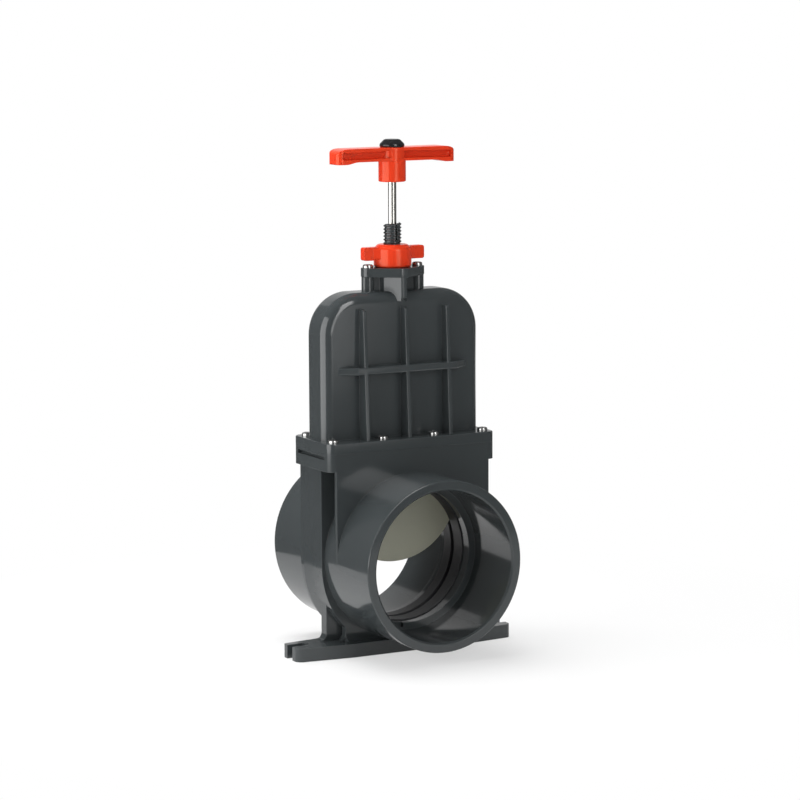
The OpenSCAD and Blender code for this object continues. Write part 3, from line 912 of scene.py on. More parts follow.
@dataclass
class Assembly:
    """What every sub-assembly shares: the CAD nodes, the finishes and the fitting of pieces."""

    nodes: dict[str, bpy.types.Object]
    paint: Paintbox
    rod_hole_r: float = 3.1
    screw_hole_r: float = 2.1
    past: float = 1.0

    @property
    def stem_y(self) -> float:
        """Where the lifting rod stands along the pipe."""
        low, high = span("lifting_rod")
        return (low.y + high.y) / 2

    def fit(self, blank: Blank, body: Body, finish: Finish, node: str) -> None:
        """Finishes a piece and sets it on its body.

        Args:
            blank: The finished shape.
            body: The body it rides on.
            finish: Its finish.
            node: The CAD node it stands for.
        """
        obj = blank.obj
        obj.data.materials.clear()
        obj.data.materials.append(self.paint.of(finish))
        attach(obj, body.value)
        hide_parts(node)
        LOG.info("%s: %d faces, for %s", obj.name, len(obj.data.polygons), node)

    def paint_node(self, name: str, finish: Finish) -> None:
        """Gives a CAD node that stays its finish.

        Args:
            name: The node's name.
            finish: The finish.
        """
        node = self.nodes[name]
        for slot in node.material_slots:
            slot.material = self.paint.of(finish)
        LOG.info("%s keeps its CAD shape in %s", name, finish.name)

    def shaft(self, radius: float, low: float, high: float, sides: int) -> Blank:
        """A round blank on the lifting rod's axis, mostly for a hole.

        Args:
            radius: Its radius.
            low: The height of its underside.
            high: The height of its top.
            sides: How many sides it has.

        Returns:
            The blank.
        """
        return Blank.rod("shaft", radius, low, high, (0, self.stem_y), sides=sides)

    def drill(self, blank: Blank, kind: str) -> None:
        """Cuts the holes of the screws whose names hold a word.

        Args:
            blank: The shape that is drilled.
            kind: The word.
        """
        for name in sorted(self.nodes):
            if kind in name:
                low, high = span(name)
                at = ((low.x + high.x) / 2, (low.y + high.y) / 2)
                start, end = low.z - self.past, high.z + self.past
                blank.cut(Blank.rod("screw_hole", self.screw_hole_r, start, end, at, sides=20))

    def build(self) -> None:
        """Models and dresses the sub-assembly."""
        raise NotImplementedError


@dataclass
class ValveBody(Assembly):
    """The body with both sockets, and the gasket and seals in it."""

    flange_t: float = 12.8
    flange_w: float = 137.0
    flange_corner: float = 6.0
    corner_past: float = 0.6
    under_round: float = 1.6
    mouth_z: float = 71.5
    rim_from: float = 60.0
    rim_round: float = 1.0
    edge_round: float = 0.5
    flush: float = 0.05
    bore_r: float = 55.25
    bore_l: float = 54.05
    lead_in: float = 1.2
    bore_past: float = 0.5

    def turned_bores(self, reach: float) -> list[Blank]:
        """The two smooth sockets with their lead-ins, which cut the body.

        Args:
            reach: How far the mouths stand from the middle.

        Returns:
            The round blanks.
        """
        made, past = [], self.bore_past
        wide = self.bore_r + self.lead_in + past
        steps = (("socket_bore", self.bore_r, self.bore_l), ("lead_in", wide, self.lead_in + past))
        for side in (-1, 1):
            for name, radius, inner in steps:
                start, end = sorted((side * (reach + past), side * (reach - inner)))
                made.append(Blank.rod(name, radius, start, end, (0, self.mouth_z), Axis.Y, 144))
            made[-1].taper(lambda p: abs(p.y) < reach, (self.bore_r - past) / wide)
        return made

    def build(self) -> None:
        """Rounds the moulded edges of the body and paints the seals."""
        high = span("valve_body")[1]
        under = high.z - self.flange_t
        inner = self.flange_w / 2 - self.flange_corner - self.corner_past

        def under_flange(a: Vector, b: Vector) -> bool:
            """Whether an edge runs round the lower corners of the flange's ends."""
            at_height = max(abs(a.z - under), abs(b.z - under)) < self.flush
            return at_height and min(abs(a.x), abs(b.x)) > inner

        def at_rim(p: Vector) -> bool:
            """Whether a point lies on the outer rim of a mouth."""
            at_end = abs(p.y) > high.y - self.flush
            return at_end and math.hypot(p.x, p.z - self.mouth_z) > self.rim_from

        blank = Blank.from_node("body_moulding", self.nodes["valve_body"])
        blank.round_edges(self.under_round, under_flange, segments=4)
        for bore in self.turned_bores(high.y):
            blank.cut(bore)
        blank.round_edges(self.rim_round, lambda a, b: at_rim(a) and at_rim(b), segments=3)
        blank.soften(self.edge_round, 40, 2).smooth(30)
        self.fit(blank, Body.VALVE, GREY_PVC, "valve_body")
        for name in ("bonnet_gasket", "front_seat_seal", "rear_seat_seal", "gland_packing"):
            self.paint_node(name, RUBBER)


@dataclass
class Bonnet(Assembly):
    """The bonnet with its flange, ribs and the tower under the gland."""

    flange_t: float = 7.6
    flange_corner: float = 6.0
    flange_top_round: float = 0.8
    flange_under_round: float = 0.15
    tower_h: float = 10.1
    width: float = 128.8
    depth: float = 29.4
    corner: float = 30.0
    edge: float = 8.0
    inner_edge: float = 1.5
    wall: float = 4.0
    rib_t: float = 2.8
    rib_spacing: float = 34.0
    rib_h: float = 94.0
    rib_root: float = 1.5
    rib_under: float = 0.5
    rib_top: float = 6.2
    rib_foot: tuple[float, float] = (11.4, 8.2)
    rib_end_round: float = 2.0
    rib_nose_round: float = 1.35
    cross_z: float = 49.8
    cross_t: float = 5.6
    cross_l: float = 105.0
    cross_run_out: float = 12.0
    cross_round: float = 2.3
    tube_r: float = 11.2
    tube_tip: float = 2.1
    tube_reach: float = 18.2
    tube_tip_round: float = 1.1
    tube_under: float = 5.0
    foot_under: float = 4.0
    pillar_under: float = 2.0
    foot_in: float = 0.3
    foot_h: float = 0.9
    pillar_x: float = 20.3
    boss_r: float = 4.2
    pillar_end: float = 25.0
    pillar_half_t: float = 3.36
    pillar_round: float = 2.8
    rod_hole_from: float = 6.0
    packing_r: float = 5.5
    packing_h: float = 6.0

    def __post_init__(self) -> None:
        """Reads the bonnet's place from its CAD node."""
        self.low, self.high = span("bonnet")
        self.deck = self.low.z + self.flange_t
        self.top = self.high.z - self.tower_h

    def dome(self, name: str, inset: float, bottom: float) -> Blank:
        """The tall round-cornered box, drawn in from the outside by an inset.

        Args:
            name: The blank's name.
            inset: How far inside the bonnet's outer face it lies.
            bottom: The height it starts from.

        Returns:
            The blank.
        """
        half_w, half_d, top = self.width / 2 - inset, self.depth / 2 - inset, self.top - inset
        front, back = self.stem_y - half_d, self.stem_y + half_d

        def top_corner(a: Vector, b: Vector) -> bool:
            """Whether an edge is an upper one that runs from front to back."""
            return above(top)(a, b) and abs(a.x - b.x) < NEAR

        def on_faces(a: Vector, b: Vector) -> bool:
            """Whether an edge lies in the front or back face, above the bottom."""
            in_face = max(a.y, b.y) < front + NEAR or min(a.y, b.y) > back - NEAR
            return in_face and not below(bottom)(a, b)

        blank = Blank.block(name, (-half_w, front, bottom), (half_w, back, top))
        blank.round_edges(self.corner - inset, top_corner, segments=20)
        return blank.round_edges(max(self.edge - inset, self.inner_edge), on_faces, segments=9)

    def flange(self) -> Blank:
        """The flange plate with round corners and soft edges."""
        top = (self.high.x, self.high.y, self.deck)
        blank = Blank.block("bonnet_flange", self.low, top)
        blank.round_edges(self.flange_corner, upright, segments=7)
        blank.round_edges(self.flange_top_round, above(self.deck), segments=2)
        return blank.round_edges(self.flange_under_round, below(self.low.z), segments=1)

    def ribs(self, side: int) -> list[Blank]:
        """The upright ribs and the cross rib of one face.

        Args:
            side: -1 for the front face, 1 for the back.

        Returns:
            The ribs.
        """
        face = self.stem_y + side * self.depth / 2
        root = face - side * self.rib_root
        foot = self.rib_foot[side > 0]
        outer = face + side * foot
        near, far = sorted((root, outer))
        half_t = self.rib_t / 2
        outside = beyond(side, face + side * LONG)
        free = self.deck + LONG
        made = []
        for x in (-self.rib_spacing, 0, self.rib_spacing):
            start = (x - half_t, near, self.deck - self.rib_under)
            rib = Blank.block("rib", start, (x + half_t, far, self.deck + self.rib_h))
            lean = (0, -side * (foot - self.rib_top), 0)
            rib.push(lambda p: p.z > free and abs(p.y - outer) < NEAR, lean)
            rib.round_edges(
                self.rib_end_round, lambda a, b: outside(a, b) and min(a.z, b.z) > free, segments=4
            )
            made.append(rib.round_edges(self.rib_nose_round, outside, segments=5))
        out = side * (self.rib_top + (foot - self.rib_top) * (1 - self.cross_z / self.rib_h))
        end, run = self.cross_l / 2, self.cross_l / 2 - self.cross_run_out
        outline = [(-end, root), (-end, face), (-run, face + out)]
        outline += [(-x, y) for x, y in reversed(outline)]
        z, half_t = self.deck + self.cross_z, self.cross_t / 2
        cross = Blank.plate("cross_rib", outline, z - half_t, z + half_t)
        shown = beyond(side, face - side * NEAR)
        cross.round_edges(self.cross_round, lambda a, b: shown(a, b) and level(a, b), segments=5)
        return [*made, cross]

    def faired_tube(self, low: float, high: float) -> Blank:
        """The tower's tube, faired in plan to a blunt tip in front and behind.

        Args:
            low: The height of its underside.
            high: The height of its top.

        Returns:
            The blank.
        """
        tip, reach, r, y = self.tube_tip, self.tube_reach, self.tube_r, self.stem_y
        turn = math.atan2(tip, reach) + math.acos(r / math.hypot(tip, reach))
        angles = [turn + (math.pi - 2 * turn) * k / 8 for k in range(9)]
        outline = [(r * math.sin(a), -r * math.cos(a)) for a in angles]
        outline = [(tip, -reach), *outline, (tip, reach)]
        outline += [(-px, py) for px, py in reversed(outline)]
        blank = Blank.plate("faired_tube", [(px, y + py) for px, py in outline], low, high)

        def at_tip(a: Vector, b: Vector) -> bool:
            """Whether an edge is an upright one at a tip."""
            return upright(a, b) and abs(a.x) < tip + NEAR and abs(a.y - y) > reach - NEAR

        return blank.round_edges(self.tube_tip_round, at_tip, segments=4)

    def tower(self) -> list[Blank]:
        """Faired tube and pillars that carry the gland plate."""
        root, top, y = self.top - self.edge - self.pillar_under, self.high.z, self.stem_y
        start = self.top - self.foot_h * self.edge
        foot = self.faired_tube(start, self.top - self.foot_under)
        draw_out = self.depth / 2 - self.foot_in - self.tube_reach
        for side in (-1, 1):

            def at_tip(p: Vector) -> bool:
                """Whether a point lies low on the tip of this side."""
                low_tip = p.z < start + NEAR and abs(p.x) < self.tube_tip + NEAR
                return low_tip and side * (p.y - y) > 0

            foot.push(at_tip, (0, side * draw_out, 0))
        parts = [foot, self.faired_tube(self.top - self.tube_under, top)]
        x, far, half_t, web_t = self.pillar_x, self.pillar_end, self.pillar_half_t, self.rib_t / 2
        for side in (-1, 1):
            near, end = sorted((side * x, side * far))
            pillar = Blank.block("pillar", (near, y - half_t, root), (end, y + half_t, top))
            pillar.round_edges(
                self.pillar_round, lambda a, b: upright(a, b) and abs(a.x) > far - NEAR, segments=6
            )
            parts.append(pillar)
            parts.append(Blank.rod("screw_boss", self.boss_r, root, top, (side * x, y), sides=40))
        return [*parts, Blank.block("tower_web", (-x, y - web_t, root), (x, y + web_t, top))]

    def build(self) -> None:
        """Models the whole bonnet as one hollow moulding."""
        blank = self.dome("bonnet_moulding", 0, self.deck - 1)
        blank.add(self.flange())
        for part in (*self.ribs(-1), *self.ribs(1), *self.tower()):
            blank.add(part)
        blank.cut(self.dome("cavity", self.wall, self.low.z - self.past))
        end = self.high.z + self.past
        blank.cut(self.shaft(self.rod_hole_r, self.top - self.rod_hole_from, end, 32))
        blank.cut(self.shaft(self.packing_r, self.high.z - self.packing_h, end, 40))
        self.drill(blank, "_screw_")
        self.fit(blank.smooth(28), Body.VALVE, GREY_PVC, "bonnet")


@dataclass
class Gland(Assembly):
    """The diamond plate with its split threaded spigot, and the wing nut on it."""

    plate_t: float = 6.6
    plate_l: float = 50.0
    plate_d: float = 38.0
    blunt: tuple[float, float] = (2.6, 3.4)
    end_round: float = 2.2
    side_round: float = 1.2
    face_round: float = 0.5
    crest_r: float = 6.6
    crest_drop: float = 0.12
    root_r: float = 5.7
    root_in: float = 0.5
    spigot_under: float = 0.5
    spigot_round: float = 0.5
    thread_from: float = 0.3
    bore_play: float = 0.1
    pitch: float = 2.5
    turn_steps: int = 40
    slit_w: float = 1.6
    slit_l: float = 12.04
    slit_reach: float = 9.0
    nut_r: float = 13.8
    nut_bevel: float = 3.0
    nut_bevel_round: float = 1.0
    nut_under_round: float = 1.4
    wing_z: float = 5.15
    wing_h: float = 9.6
    wing_t: float = 6.0
    wing_r: float = 1.6
    wing_edge: float = 0.9
    wing_root: tuple[float, float] = (17.2, 3.2)
    wing_hip: tuple[float, float] = (11.0, 6.4)
    wing_root_inset: float = 0.6
    wing_root_round: float = 0.8
    mark_r: float = 0.9
    mark_at: tuple[float, float] = (4.6, 2.4)
    mark_proud: float = 0.25

    def plate(self, low: float) -> Blank:
        """The diamond plate with blunt, rounded ends.

        Args:
            low: The height of its underside.

        Returns:
            The plate.
        """
        half_l, half_d, y = self.plate_l / 2, self.plate_d / 2, self.stem_y
        bx, by = self.blunt
        corners = [(bx, -half_d), (half_l, -by), (half_l, by), (bx, half_d)]
        corners += [(-px, py) for px, py in reversed(corners)]
        outline = [(px, y + py) for px, py in corners]
        blank = Blank.plate("gland_moulding", outline, low, low + self.plate_t)
        blank.round_edges(
            self.end_round, lambda a, b: upright(a, b) and abs(a.x) > half_l - 1, segments=5
        )
        blank.round_edges(
            self.side_round, lambda a, b: upright(a, b) and abs(a.x) < bx + 1, segments=3
        )
        return blank.round_edges(self.face_round, level, segments=2)

    def thread(self, bottom: float, top: float) -> Blank:
        """One continuous thread ridge wound up the spigot.

        Args:
            bottom: The height of the thread's start.
            top: The height of the spigot's top.

        Returns:
            The closed ridge.
        """
        root, crest = self.root_r - self.root_in, self.crest_r
        steps = ((root, 0.02), (crest - self.crest_drop, 0.36), (crest, 0.5))
        profile = [(radius, share * self.pitch) for radius, share in steps]
        profile += [(radius, self.pitch - z) for radius, z in reversed(profile[:-1])]
        blank = Blank.plate("thread_ridge", profile, 0, 1, Axis.Y)
        with blank.editing("FACE") as mesh:
            for face in mesh.faces:
                face.select_set(face.normal.y > -0.5)
            bmesh.update_edit_mesh(blank.obj.data)
            bpy.ops.mesh.delete(type="FACE")
            bpy.ops.mesh.select_all(action="SELECT")
            bpy.ops.mesh.delete(type="ONLY_FACE")
        with blank.editing("VERT") as mesh:
            for vertex in mesh.verts:
                vertex.select_set(not vertex.link_edges)
            bmesh.update_edit_mesh(blank.obj.data)
            bpy.ops.mesh.delete(type="VERT")
        only(blank.obj)
        screw = blank.obj.modifiers.new("wind", "SCREW")
        screw.axis = "Z"
        screw.steps = screw.render_steps = self.turn_steps
        screw.screw_offset = self.pitch * MM
        screw.iterations = int((top - bottom) / self.pitch)
        screw.use_merge_vertices = False
        bpy.ops.object.modifier_apply(modifier=screw.name)
        with blank.editing("VERT"):
            bpy.ops.mesh.select_non_manifold(extend=False)
            bpy.ops.mesh.fill_holes(sides=0)
        return blank.face_out().place((0, self.stem_y, bottom))

    def spigot(self, low: float, top: float) -> Blank:
        """The spigot's core with its thread.

        Args:
            low: The height of its underside.
            top: The height of its top.

        Returns:
            The spigot.
        """
        core = self.shaft(self.root_r, low, top, 48)
        core.round_edges(self.spigot_round, above(top), segments=2)
        return core.add(self.thread(low + self.thread_from, top))

    def wing_nut(self) -> Blank:
        """The barrel and its two wings, with filleted roots and a clear bore."""
        low, high = span("gland_wing_nut")
        y, half_t = self.stem_y, self.wing_t / 2
        blank = Blank.rod("wing_nut_moulding", self.nut_r, low.z, high.z, (0, y), sides=72)
        blank.round_edges(self.nut_bevel, above(high.z), segments=1)
        on_bevel = above(high.z - self.nut_bevel)
        blank.round_edges(
            self.nut_bevel_round, lambda a, b: level(a, b) and on_bevel(a, b), segments=3
        )
        blank.round_edges(self.nut_under_round, below(low.z), segments=3)
        start, end = low.z + self.wing_z, low.z + self.wing_z + self.wing_h
        wings = Blank.block("wings", (low.x, y - half_t, start), (high.x, y + half_t, end))
        wings.round_edges(
            self.wing_r, lambda a, b: abs(a.x - b.x) < NEAR and abs(a.y - b.y) > LONG, segments=4
        )
        wings.round_edges(self.wing_edge, lambda a, b: True, segments=3)
        (rx, ry), (hx, hy), inset = self.wing_root, self.wing_hip, self.wing_root_inset
        outline = [(-rx, y - ry), (-hx, y - hy), (hx, y - hy), (rx, y - ry)]
        outline += [(px, 2 * y - py) for px, py in reversed(outline)]
        roots = Blank.plate("wing_roots", outline, start + inset, end - inset)
        roots.round_edges(self.wing_root_round, level, segments=2)
        blank.add(roots).add(wings)
        bore_r = self.crest_r + self.bore_play
        blank.cut(self.shaft(bore_r, low.z - self.past, high.z + self.past, 48))
        mark_x, mark_z = self.mark_at
        front, at = y - self.nut_r - self.mark_proud, (mark_x, low.z + mark_z)
        return blank.add(Blank.rod("mould_mark", self.mark_r, front, y, at, Axis.Y, 16))

    def build(self) -> None:
        """Models plate, spigot and wing nut."""
        low, high = span("gland_flange")
        blank = self.plate(low.z)
        blank.add(self.spigot(low.z + self.plate_t - self.spigot_under, high.z))
        blank.cut(self.shaft(self.rod_hole_r, low.z - self.past, high.z + self.past, 32))
        half_l, half_w = self.slit_reach, self.slit_w / 2
        for turn in (0, 90):
            start = (-half_l, -half_w, high.z - self.slit_l)
            slit = Blank.block("slit", start, (half_l, half_w, high.z + self.past))
            blank.cut(slit.place((0, self.stem_y, 0), turn))
        self.drill(blank, "gland_screw_")
        self.fit(blank.smooth(30), Body.VALVE, GREY_PVC, "gland_flange")
        self.fit(self.wing_nut().smooth(32), Body.WING_NUT, RED_PLASTIC, "gland_wing_nut")


@dataclass
class Handle(Assembly):
    """The red T-handle with its black cap and the nut inside."""

    bar_h: float = 9.7
    bar_t: float = 16.8
    droop: float = 1.6
    droop_from: float = 7.0
    droop_run: float = 10.2
    shoulder: tuple[float, float] = (9.0, 4.6)
    nick: float = 0.6
    end_r: float = 4.4
    bar_round: float = 1.4
    channel_start: float = 4.0
    channel_end: float = 3.8
    channel_depth: float = 4.2
    channel_rim: float = 2.3
    channel_round: float = 1.8
    channel_floor_round: float = 1.3
    channel_spread: tuple[float, float] = (0.7, 0.5)
    channel_corner: float = 3.0
    hub_r: float = 10.0
    hub_under_round: float = 0.9
    hub_top_round: float = 0.4
    neck_r: float = 9.6
    neck_round: float = 0.8
    hollow_r: float = 7.2
    hollow_h: float = 16.6
    rod_seat_r: float = 3.02
    nut_room: tuple[float, float] = (6.2, 5.5)
    cap_r: float = 9.1
    cap_bevel: float = 3.5
    cap_round: float = 1.0
    cap_under_round: float = 0.35

    def bar(self, low: float, top: float, half: float) -> Blank:
        """The bar, straight on top, round at its two ends and drooping there.

        Args:
            low: The height of its underside in the middle.
            top: The height of its top.
            half: Half its length.

        Returns:
            The bar.
        """
        y, half_t, foot = self.stem_y, self.bar_t / 2, low - self.droop
        long, tall = self.shoulder
        curve = [(half, foot + self.nick), (half, top - tall)]
        for k in range(1, 7):
            a = k * math.pi / 12
            curve.append((half - long + long * math.cos(a), top - tall + tall * math.sin(a)))
        curve += [(-x, z) for x, z in reversed(curve)]
        under = [(-half + self.nick, foot)]
        for k in range(7):
            fall = self.droop * (0.5 + 0.5 * math.cos(k * math.pi / 6))
            under.append((-half + self.droop_from + self.droop_run * k / 6, low - fall))
        curve += [*under, *((-x, z) for x, z in reversed(under))]
        blank = Blank.plate("handle_bar", curve, y - half_t, y + half_t, Axis.Y)
        plan = Blank.block("bar_plan", (-half, y - half_t, low - 4), (half, y + half_t, top + 1))
        plan.round_edges(self.end_r, upright, segments=8)
        return blank.combine(plan, Join.KEEP).soften(self.bar_round, 40, 4)

    def channel(self, low: float, top: float, end: float, face: int) -> Blank:
        """A long hollow in the right half of one of the bar's faces, which cuts it.

        Args:
            low: The height of the bar's underside.
            top: The height of its top.
            end: How far the hollow reaches.
            face: -1 for the front face, 1 for the back.

        Returns:
            The blank.
        """
        y, rim, depth = self.stem_y + face * self.bar_t / 2, self.channel_rim, self.channel_depth
        start = (self.channel_start, y - depth, low + rim)
        blank = Blank.block("channel", start, (end, y + depth, top - rim))
        corner, (low_drop, high_drop) = self.channel_corner, self.channel_spread
        blank.push(lambda p: p.x > end - NEAR and p.z < low + corner, (0, 0, -low_drop))
        blank.push(lambda p: p.x > end - NEAR and p.z > top - corner, (0, 0, -high_drop))
        blank.round_edges(self.channel_round, lambda a, b: abs(a.y - b.y) > LONG, segments=4)
        return blank.round_edges(
            self.channel_floor_round, lambda a, b: abs(a.y - b.y) < NEAR, segments=4
        )

    def build(self) -> None:
        """Models handle and cap."""
        low, high = span("tee_handle")
        half, top, past = high.x, high.z, self.past
        bar_low = top - self.bar_h
        at = (0, self.stem_y)
        hub = Blank.rod("tee_handle_moulding", self.hub_r, low.z, bar_low, at, sides=72)
        hub.round_edges(self.hub_under_round, below(low.z), segments=3)
        hub.round_edges(self.hub_top_round, above(bar_low), segments=2)
        neck = self.shaft(self.neck_r, bar_low - 1, top, 72)
        neck.round_edges(self.neck_round, above(top), segments=3)
        bar = self.bar(bar_low, top, half)
        for side in (-1, 1):
            for face in (-1, 1):
                channel = self.channel(bar_low, top, half - self.channel_end, face)
                if side < 0:
                    channel.obj.data.transform(Matrix.Scale(-1, 4, (1, 0, 0)))
                    channel.face_out()
                bar.cut(channel)
        hub.add(neck).add(bar)
        nut_r, nut_h = self.nut_room
        hub.cut(self.shaft(self.hollow_r, low.z - past, low.z + self.hollow_h, 56))
        hub.cut(self.shaft(self.rod_seat_r, low.z, top + past, 32))
        hub.cut(self.shaft(nut_r, top - nut_h, top + past, 48))
        self.fit(hub.smooth(32), Body.GATE, RED_PLASTIC, "tee_handle")
        low, high = span("handle_cap")
        cap = Blank.rod("cap_moulding", self.cap_r, low.z, high.z, at, sides=72)
        cap.round_edges(self.cap_bevel, above(high.z), segments=1)
        cap.soften(self.cap_round, 20, 4)
        cap.round_edges(self.cap_under_round, below(low.z), segments=2)
        self.fit(cap.smooth(30), Body.GATE, BLACK_PLASTIC, "handle_cap")
        self.paint_node("handle_nut", SCREW_STEEL)


@dataclass
class Gate(Assembly):
    """The blade, its rod and what joins them."""

    rod_round: float = 0.4
    blade_round: float = 0.5

    def build(self) -> None:
        """Models rod and blade, and paints the block and pin."""
        low, high = span("lifting_rod")
        radius = (high.x - low.x) / 2
        rod = Blank.rod("polished_rod", radius, low.z, high.z, (0, self.stem_y), sides=64)
        rod.round_edges(self.rod_round, level, segments=2)
        self.fit(rod.smooth(30), Body.GATE, ROD_STEEL, "lifting_rod")
        blade = Blank.from_node("blade_sheet", self.nodes["gate_blade"])
        blade.soften(self.blade_round, 50, 3)
        self.fit(blade.smooth(35), Body.GATE, BLADE_PLASTIC, "gate_blade")
        for name in ("rod_clevis", "clevis_pin"):
            self.paint_node(name, SCREW_STEEL)


@dataclass
class Fasteners(Assembly):
    """The cross-recessed pan-head screws of flange and gland."""

    shank_r: float = 2.0
    shank_in: float = 0.2
    tip_round: float = 0.5
    head_h: float = 2.5
    head_round: float = 1.5
    head_profile: float = 0.55
    recess_l: float = 3.7
    recess_w: float = 0.9
    recess_depth: float = 1.3
    turn_deg: float = 23.0

    def pattern(self, name: str, low: Vector, high: Vector) -> Blank:
        """One screw, standing where its CAD node stands.

        Args:
            name: The screw's name.
            low: The node's lowest corner.
            high: Its highest corner.

        Returns:
            The screw.
        """
        at = x, y = ((low.x + high.x) / 2, (low.y + high.y) / 2)
        seat, floor = high.z - self.head_h, high.z - self.recess_depth
        blank = Blank.rod(name, (high.x - low.x) / 2, seat, high.z, at, sides=40)
        blank.round_edges(self.head_round, above(high.z), segments=5, profile=self.head_profile)
        shank = Blank.rod("shank", self.shank_r, low.z, seat + self.shank_in, at, sides=24)
        blank.add(shank.round_edges(self.tip_round, below(low.z), segments=1))
        across = (self.recess_l / 2, self.recess_w / 2)
        for half_x, half_y in (across, across[::-1]):
            end = (x + half_x, y + half_y, high.z + self.past)
            blank.cut(Blank.block("recess", (x - half_x, y - half_y, floor), end))
        return blank.smooth(35)

    def build(self) -> None:
        """Models one screw of each length and copies it to the other places."""
        for group in ("flange_screw_", "gland_screw_"):
            names = sorted(n for n in self.nodes if n.startswith(group))
            low, high = span(names[0])
            first = self.pattern("pan_head_" + names[0], low, high)
            for index, name in enumerate(names):
                turn = self.turn_deg * index
                turned = Matrix.Rotation(math.radians(turn), 3, "Z") @ ((low + high) / 2)
                step = sum(span(name), Vector()) / 2 - turned
                screw = first.copy("pan_head_screw_" + name).place(step, turn)
                self.fit(screw, Body.VALVE, SCREW_STEEL, name)
            bpy.data.objects.remove(first.obj)


# ---------------------------------------------------------------- studio


@dataclass(frozen=True)
class Softbox:
    """One rectangular studio lamp, in metres."""

    name: str
    place: Triple
    aim: Triple
    size: tuple[float, float]
    radiance: float
    mirrored: bool = True

    def hang(self) -> None:
        """Adds the lamp to the scene."""
        data = bpy.data.lights.new(self.name, "AREA")
        data.shape = "RECTANGLE"
        data.size, data.size_y = self.size
        data.energy = math.pi * self.radiance * self.size[0] * self.size[1]
        lamp = bpy.data.objects.new(self.name, data)
        bpy.context.scene.collection.objects.link(lamp)
        lamp.location = self.place
        direction = Vector(self.aim) - Vector(self.place)
        lamp.rotation_euler = direction.to_track_quat("-Z", "Y").to_euler()
        lamp.visible_camera = False
        lamp.visible_glossy = self.mirrored


@dataclass(frozen=True)
class Card:
    """A flat block that only reflections show, in millimetres, and how bright it glows."""

    name: str
    low: Triple
    high: Triple
    level: float


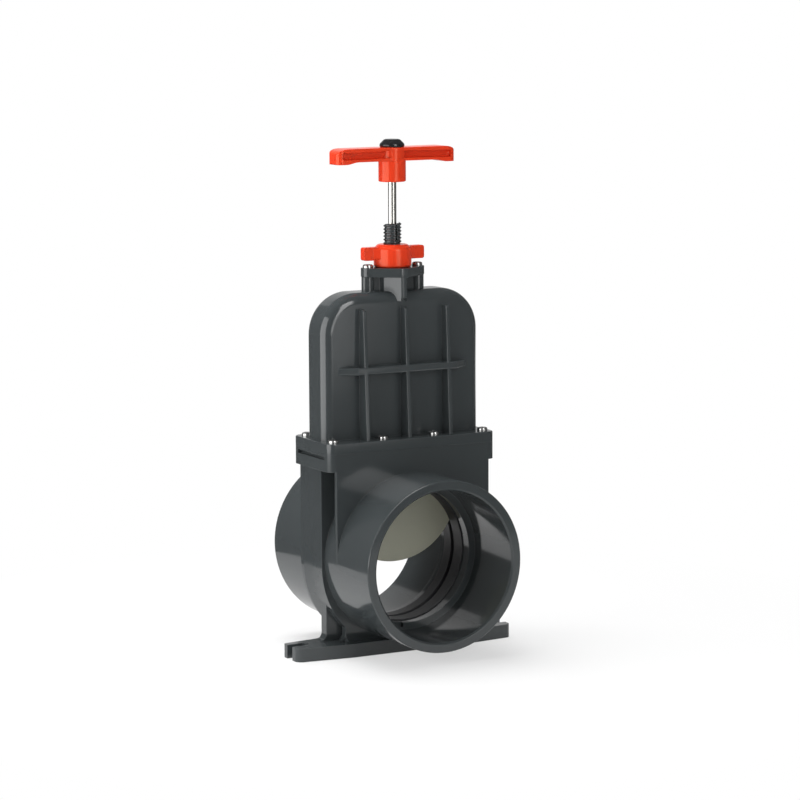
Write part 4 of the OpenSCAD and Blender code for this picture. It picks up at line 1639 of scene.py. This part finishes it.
@dataclass(frozen=True)
class Studio:
    """The floor, the cards that only reflections show, the lamps and the camera.

    All its own distances are in metres, as the lamps' are.
    """

    azimuth: float = -28.366
    elevation: float = 7.946
    roll: float = 0.27
    distance: float = 2.29395
    target: Triple = (0.00428, 0.0, 0.18268)
    lens: float = 141.29
    sensor: float = 36.0
    clip_end: float = 50.0
    floor_tones: tuple[float, float] = (0.73, 0.75)
    floor_roughness: float = 0.9
    floor_cloud: Grain = Grain(400)
    white_from: float = 0.16
    white_run: float = 0.26
    near_white: float = 0.55
    mirror_loss: float = 0.2
    room: tuple[Triple, Triple] = ((0, 0, 1.2), (4.4, 4.4, 2.8))
    card_cloud: Grain = Grain(900, 1)
    card_change: float = 0.15
    cards: tuple[Card, ...] = (
        Card("dark_floor_back", (-2100, 275, 1), (2100, 2100, 2), 0.13),
        Card("dark_floor_front", (-2100, -2100, 1), (2100, -500, 2), 0.13),
        Card("dark_floor_left", (-2100, -500, 1), (-950, 275, 2), 0.13),
        Card("dark_floor_right", (600, -500, 1), (2100, 275, 2), 0.13),
        Card("pale_backdrop", (-300, 2100, 20), (2100, 2110, 1400), 0.62),
        Card("low_front_card", (100, -1400, 5), (450, -1390, 250), 1.3),
        Card("low_right_card", (450, -1400, 5), (690, -1390, 250), 1.5),
        Card("high_left_card", (-905, -565, 585), (-900, 485, 860), 3.3),
        Card("high_right_card", (395, -1310, 520), (480, -1300, 1200), 4.0),
        Card("high_front_card", (-250, -1310, 1205), (480, -1300, 1700), 4.0),
        Card("right_floor_card", (1100, 450, 3), (1600, 1100, 4), 1.4),
    )
    room_level: float = 0.13
    fill: float = 0.2
    lamps: tuple[Softbox, ...] = (
        Softbox("left_softbox", (-0.9, -0.04, 0.30), (0, 0, 0.30), (1.05, 0.56), 3.4),
        Softbox("front_softbox_low", (0.14, -1.36, 0.31), (0.14, 0, 0.31), (0.5, 0.38), 2.9),
        Softbox("front_softbox_high", (0.14, -1.30, 0.86), (0, 0, 0.2), (0.5, 0.74), 5.0),
        Softbox("top_softbox", (-0.15, 0.25, 1.3), (0, 0, 0.1), (0.9, 0.9), 9.0, mirrored=False),
    )

    def dress(self, obj: bpy.types.Object, recipe: Recipe, shader: Term) -> None:
        """Gives a stage object its shader.

        Args:
            obj: The floor, the room or a card.
            recipe: Its material's recipe.
            shader: The shader that its surface gets.
        """
        recipe.show(shader)
        obj.data.materials.append(recipe.material)

    def floor(self) -> None:
        """Lays the pale floor, which keeps the valve's shadow and turns plain white further off."""
        bpy.ops.object.select_all(action="DESELECT")
        bpy.ops.mesh.primitive_plane_add(size=12, location=(0, 0, 0))
        floor = bpy.context.active_object
        floor.name = "studio_floor"
        r = Recipe("studio_floor")
        dark, light = ((tone,) * 3 for tone in self.floor_tones)
        tone = r.between(r.noise(self.floor_cloud), dark, light)
        r.set(Base_Color=tone, Roughness=self.floor_roughness)
        reach = r.node("ShaderNodeVectorMath", {"operation": "LENGTH"}, {0: r.place}, "Value")
        far = ((reach - self.white_from) * (1 / self.white_run)).held()
        strength = 1 - r.ray("Is Glossy Ray") * self.mirror_loss
        glow = r.node("ShaderNodeEmission", {}, {"Color": WHITE, "Strength": strength})
        share = r.seen() * (self.near_white + far * (1 - self.near_white))
        inputs = {0: share, 1: r.shader.outputs[0], 2: glow}
        self.dress(floor, r, r.node("ShaderNodeMixShader", {}, inputs))

    def card(self, obj: bpy.types.Object, level: float) -> None:
        """Makes an object a studio surface that only reflections show.

        Args:
            obj: The object.
            level: How bright its grey is.
        """
        r = Recipe(obj.name)
        grey = (level,) * 3
        cloud = r.tinted(r.noise(self.card_cloud), grey, 1 - self.card_change, 1 + self.card_change)
        self.dress(obj, r, r.node("ShaderNodeEmission", {}, {"Color": cloud, "Strength": 1.0}))
        for ray in ("camera", "diffuse", "transmission", "volume_scatter", "shadow"):
            setattr(obj, f"visible_{ray}", False)

    def surfaces(self) -> None:
        """Stands the dark room round the table, its floor beyond the table, and the cards."""
        middle, size = self.room
        bpy.ops.object.select_all(action="DESELECT")
        bpy.ops.mesh.primitive_cube_add(size=1, location=middle, scale=size)
        room = bpy.context.active_object
        room.name = "dark_room"
        bpy.ops.object.transform_apply(location=True, rotation=True, scale=True)
        self.card(room, self.room_level)
        for card in self.cards:
            self.card(Blank.block(card.name, card.low, card.high).obj, card.level)

    def surroundings(self) -> None:
        """Lights the room: white where it is seen, a soft even fill where it only lights."""
        world = bpy.data.worlds.new("studio_room")
        bpy.context.scene.world = world
        world.use_nodes = True
        graph = Graph(world.node_tree)
        graph.tree.nodes.clear()
        graph.tree.nodes.new("ShaderNodeOutputWorld")
        fill, white = (
            graph.node("ShaderNodeBackground", {}, {"Color": WHITE, "Strength": level})
            for level in (self.fill, 1.0)
        )
        graph.show(graph.node("ShaderNodeMixShader", {}, {0: graph.seen(), 1: fill, 2: white}))

    def camera(self) -> None:
        """Sets up the camera."""
        azimuth, elevation = math.radians(self.azimuth), math.radians(self.elevation)
        flat = math.cos(elevation)
        back = Vector((math.sin(azimuth) * flat, -math.cos(azimuth) * flat, math.sin(elevation)))
        turn = Matrix.Rotation(-math.radians(self.roll), 3, back)
        right = turn @ Vector((math.cos(azimuth), math.sin(azimuth), 0.0))
        up = back.cross(right)
        data = bpy.data.cameras.new("studio_camera")
        data.lens = self.lens
        data.sensor_width = self.sensor
        data.clip_end = self.clip_end
        camera = bpy.data.objects.new("studio_camera", data)
        bpy.context.scene.collection.objects.link(camera)
        frame = Matrix((right, up, back)).transposed().to_4x4()
        camera.matrix_world = Matrix.Translation(Vector(self.target) + back * self.distance) @ frame
        bpy.context.scene.camera = camera

    def build(self) -> None:
        """Sets up floor, room, cards, lamps, surroundings and camera."""
        self.floor()
        self.surfaces()
        for lamp in self.lamps:
            lamp.hang()
        self.surroundings()
        self.camera()
        bpy.context.scene.view_settings.view_transform = "Standard"


def main() -> None:
    """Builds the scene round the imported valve."""
    logging.basicConfig(level=logging.INFO, format="%(message)s")
    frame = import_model()
    bpy.ops.object.select_all(action="DESELECT")
    paint = Paintbox()
    for assembly in (ValveBody, Bonnet, Gland, Handle, Gate, Fasteners):
        assembly(frame["nodes"], paint).build()
    Studio().build()


if __name__ == "__main__":
    main()
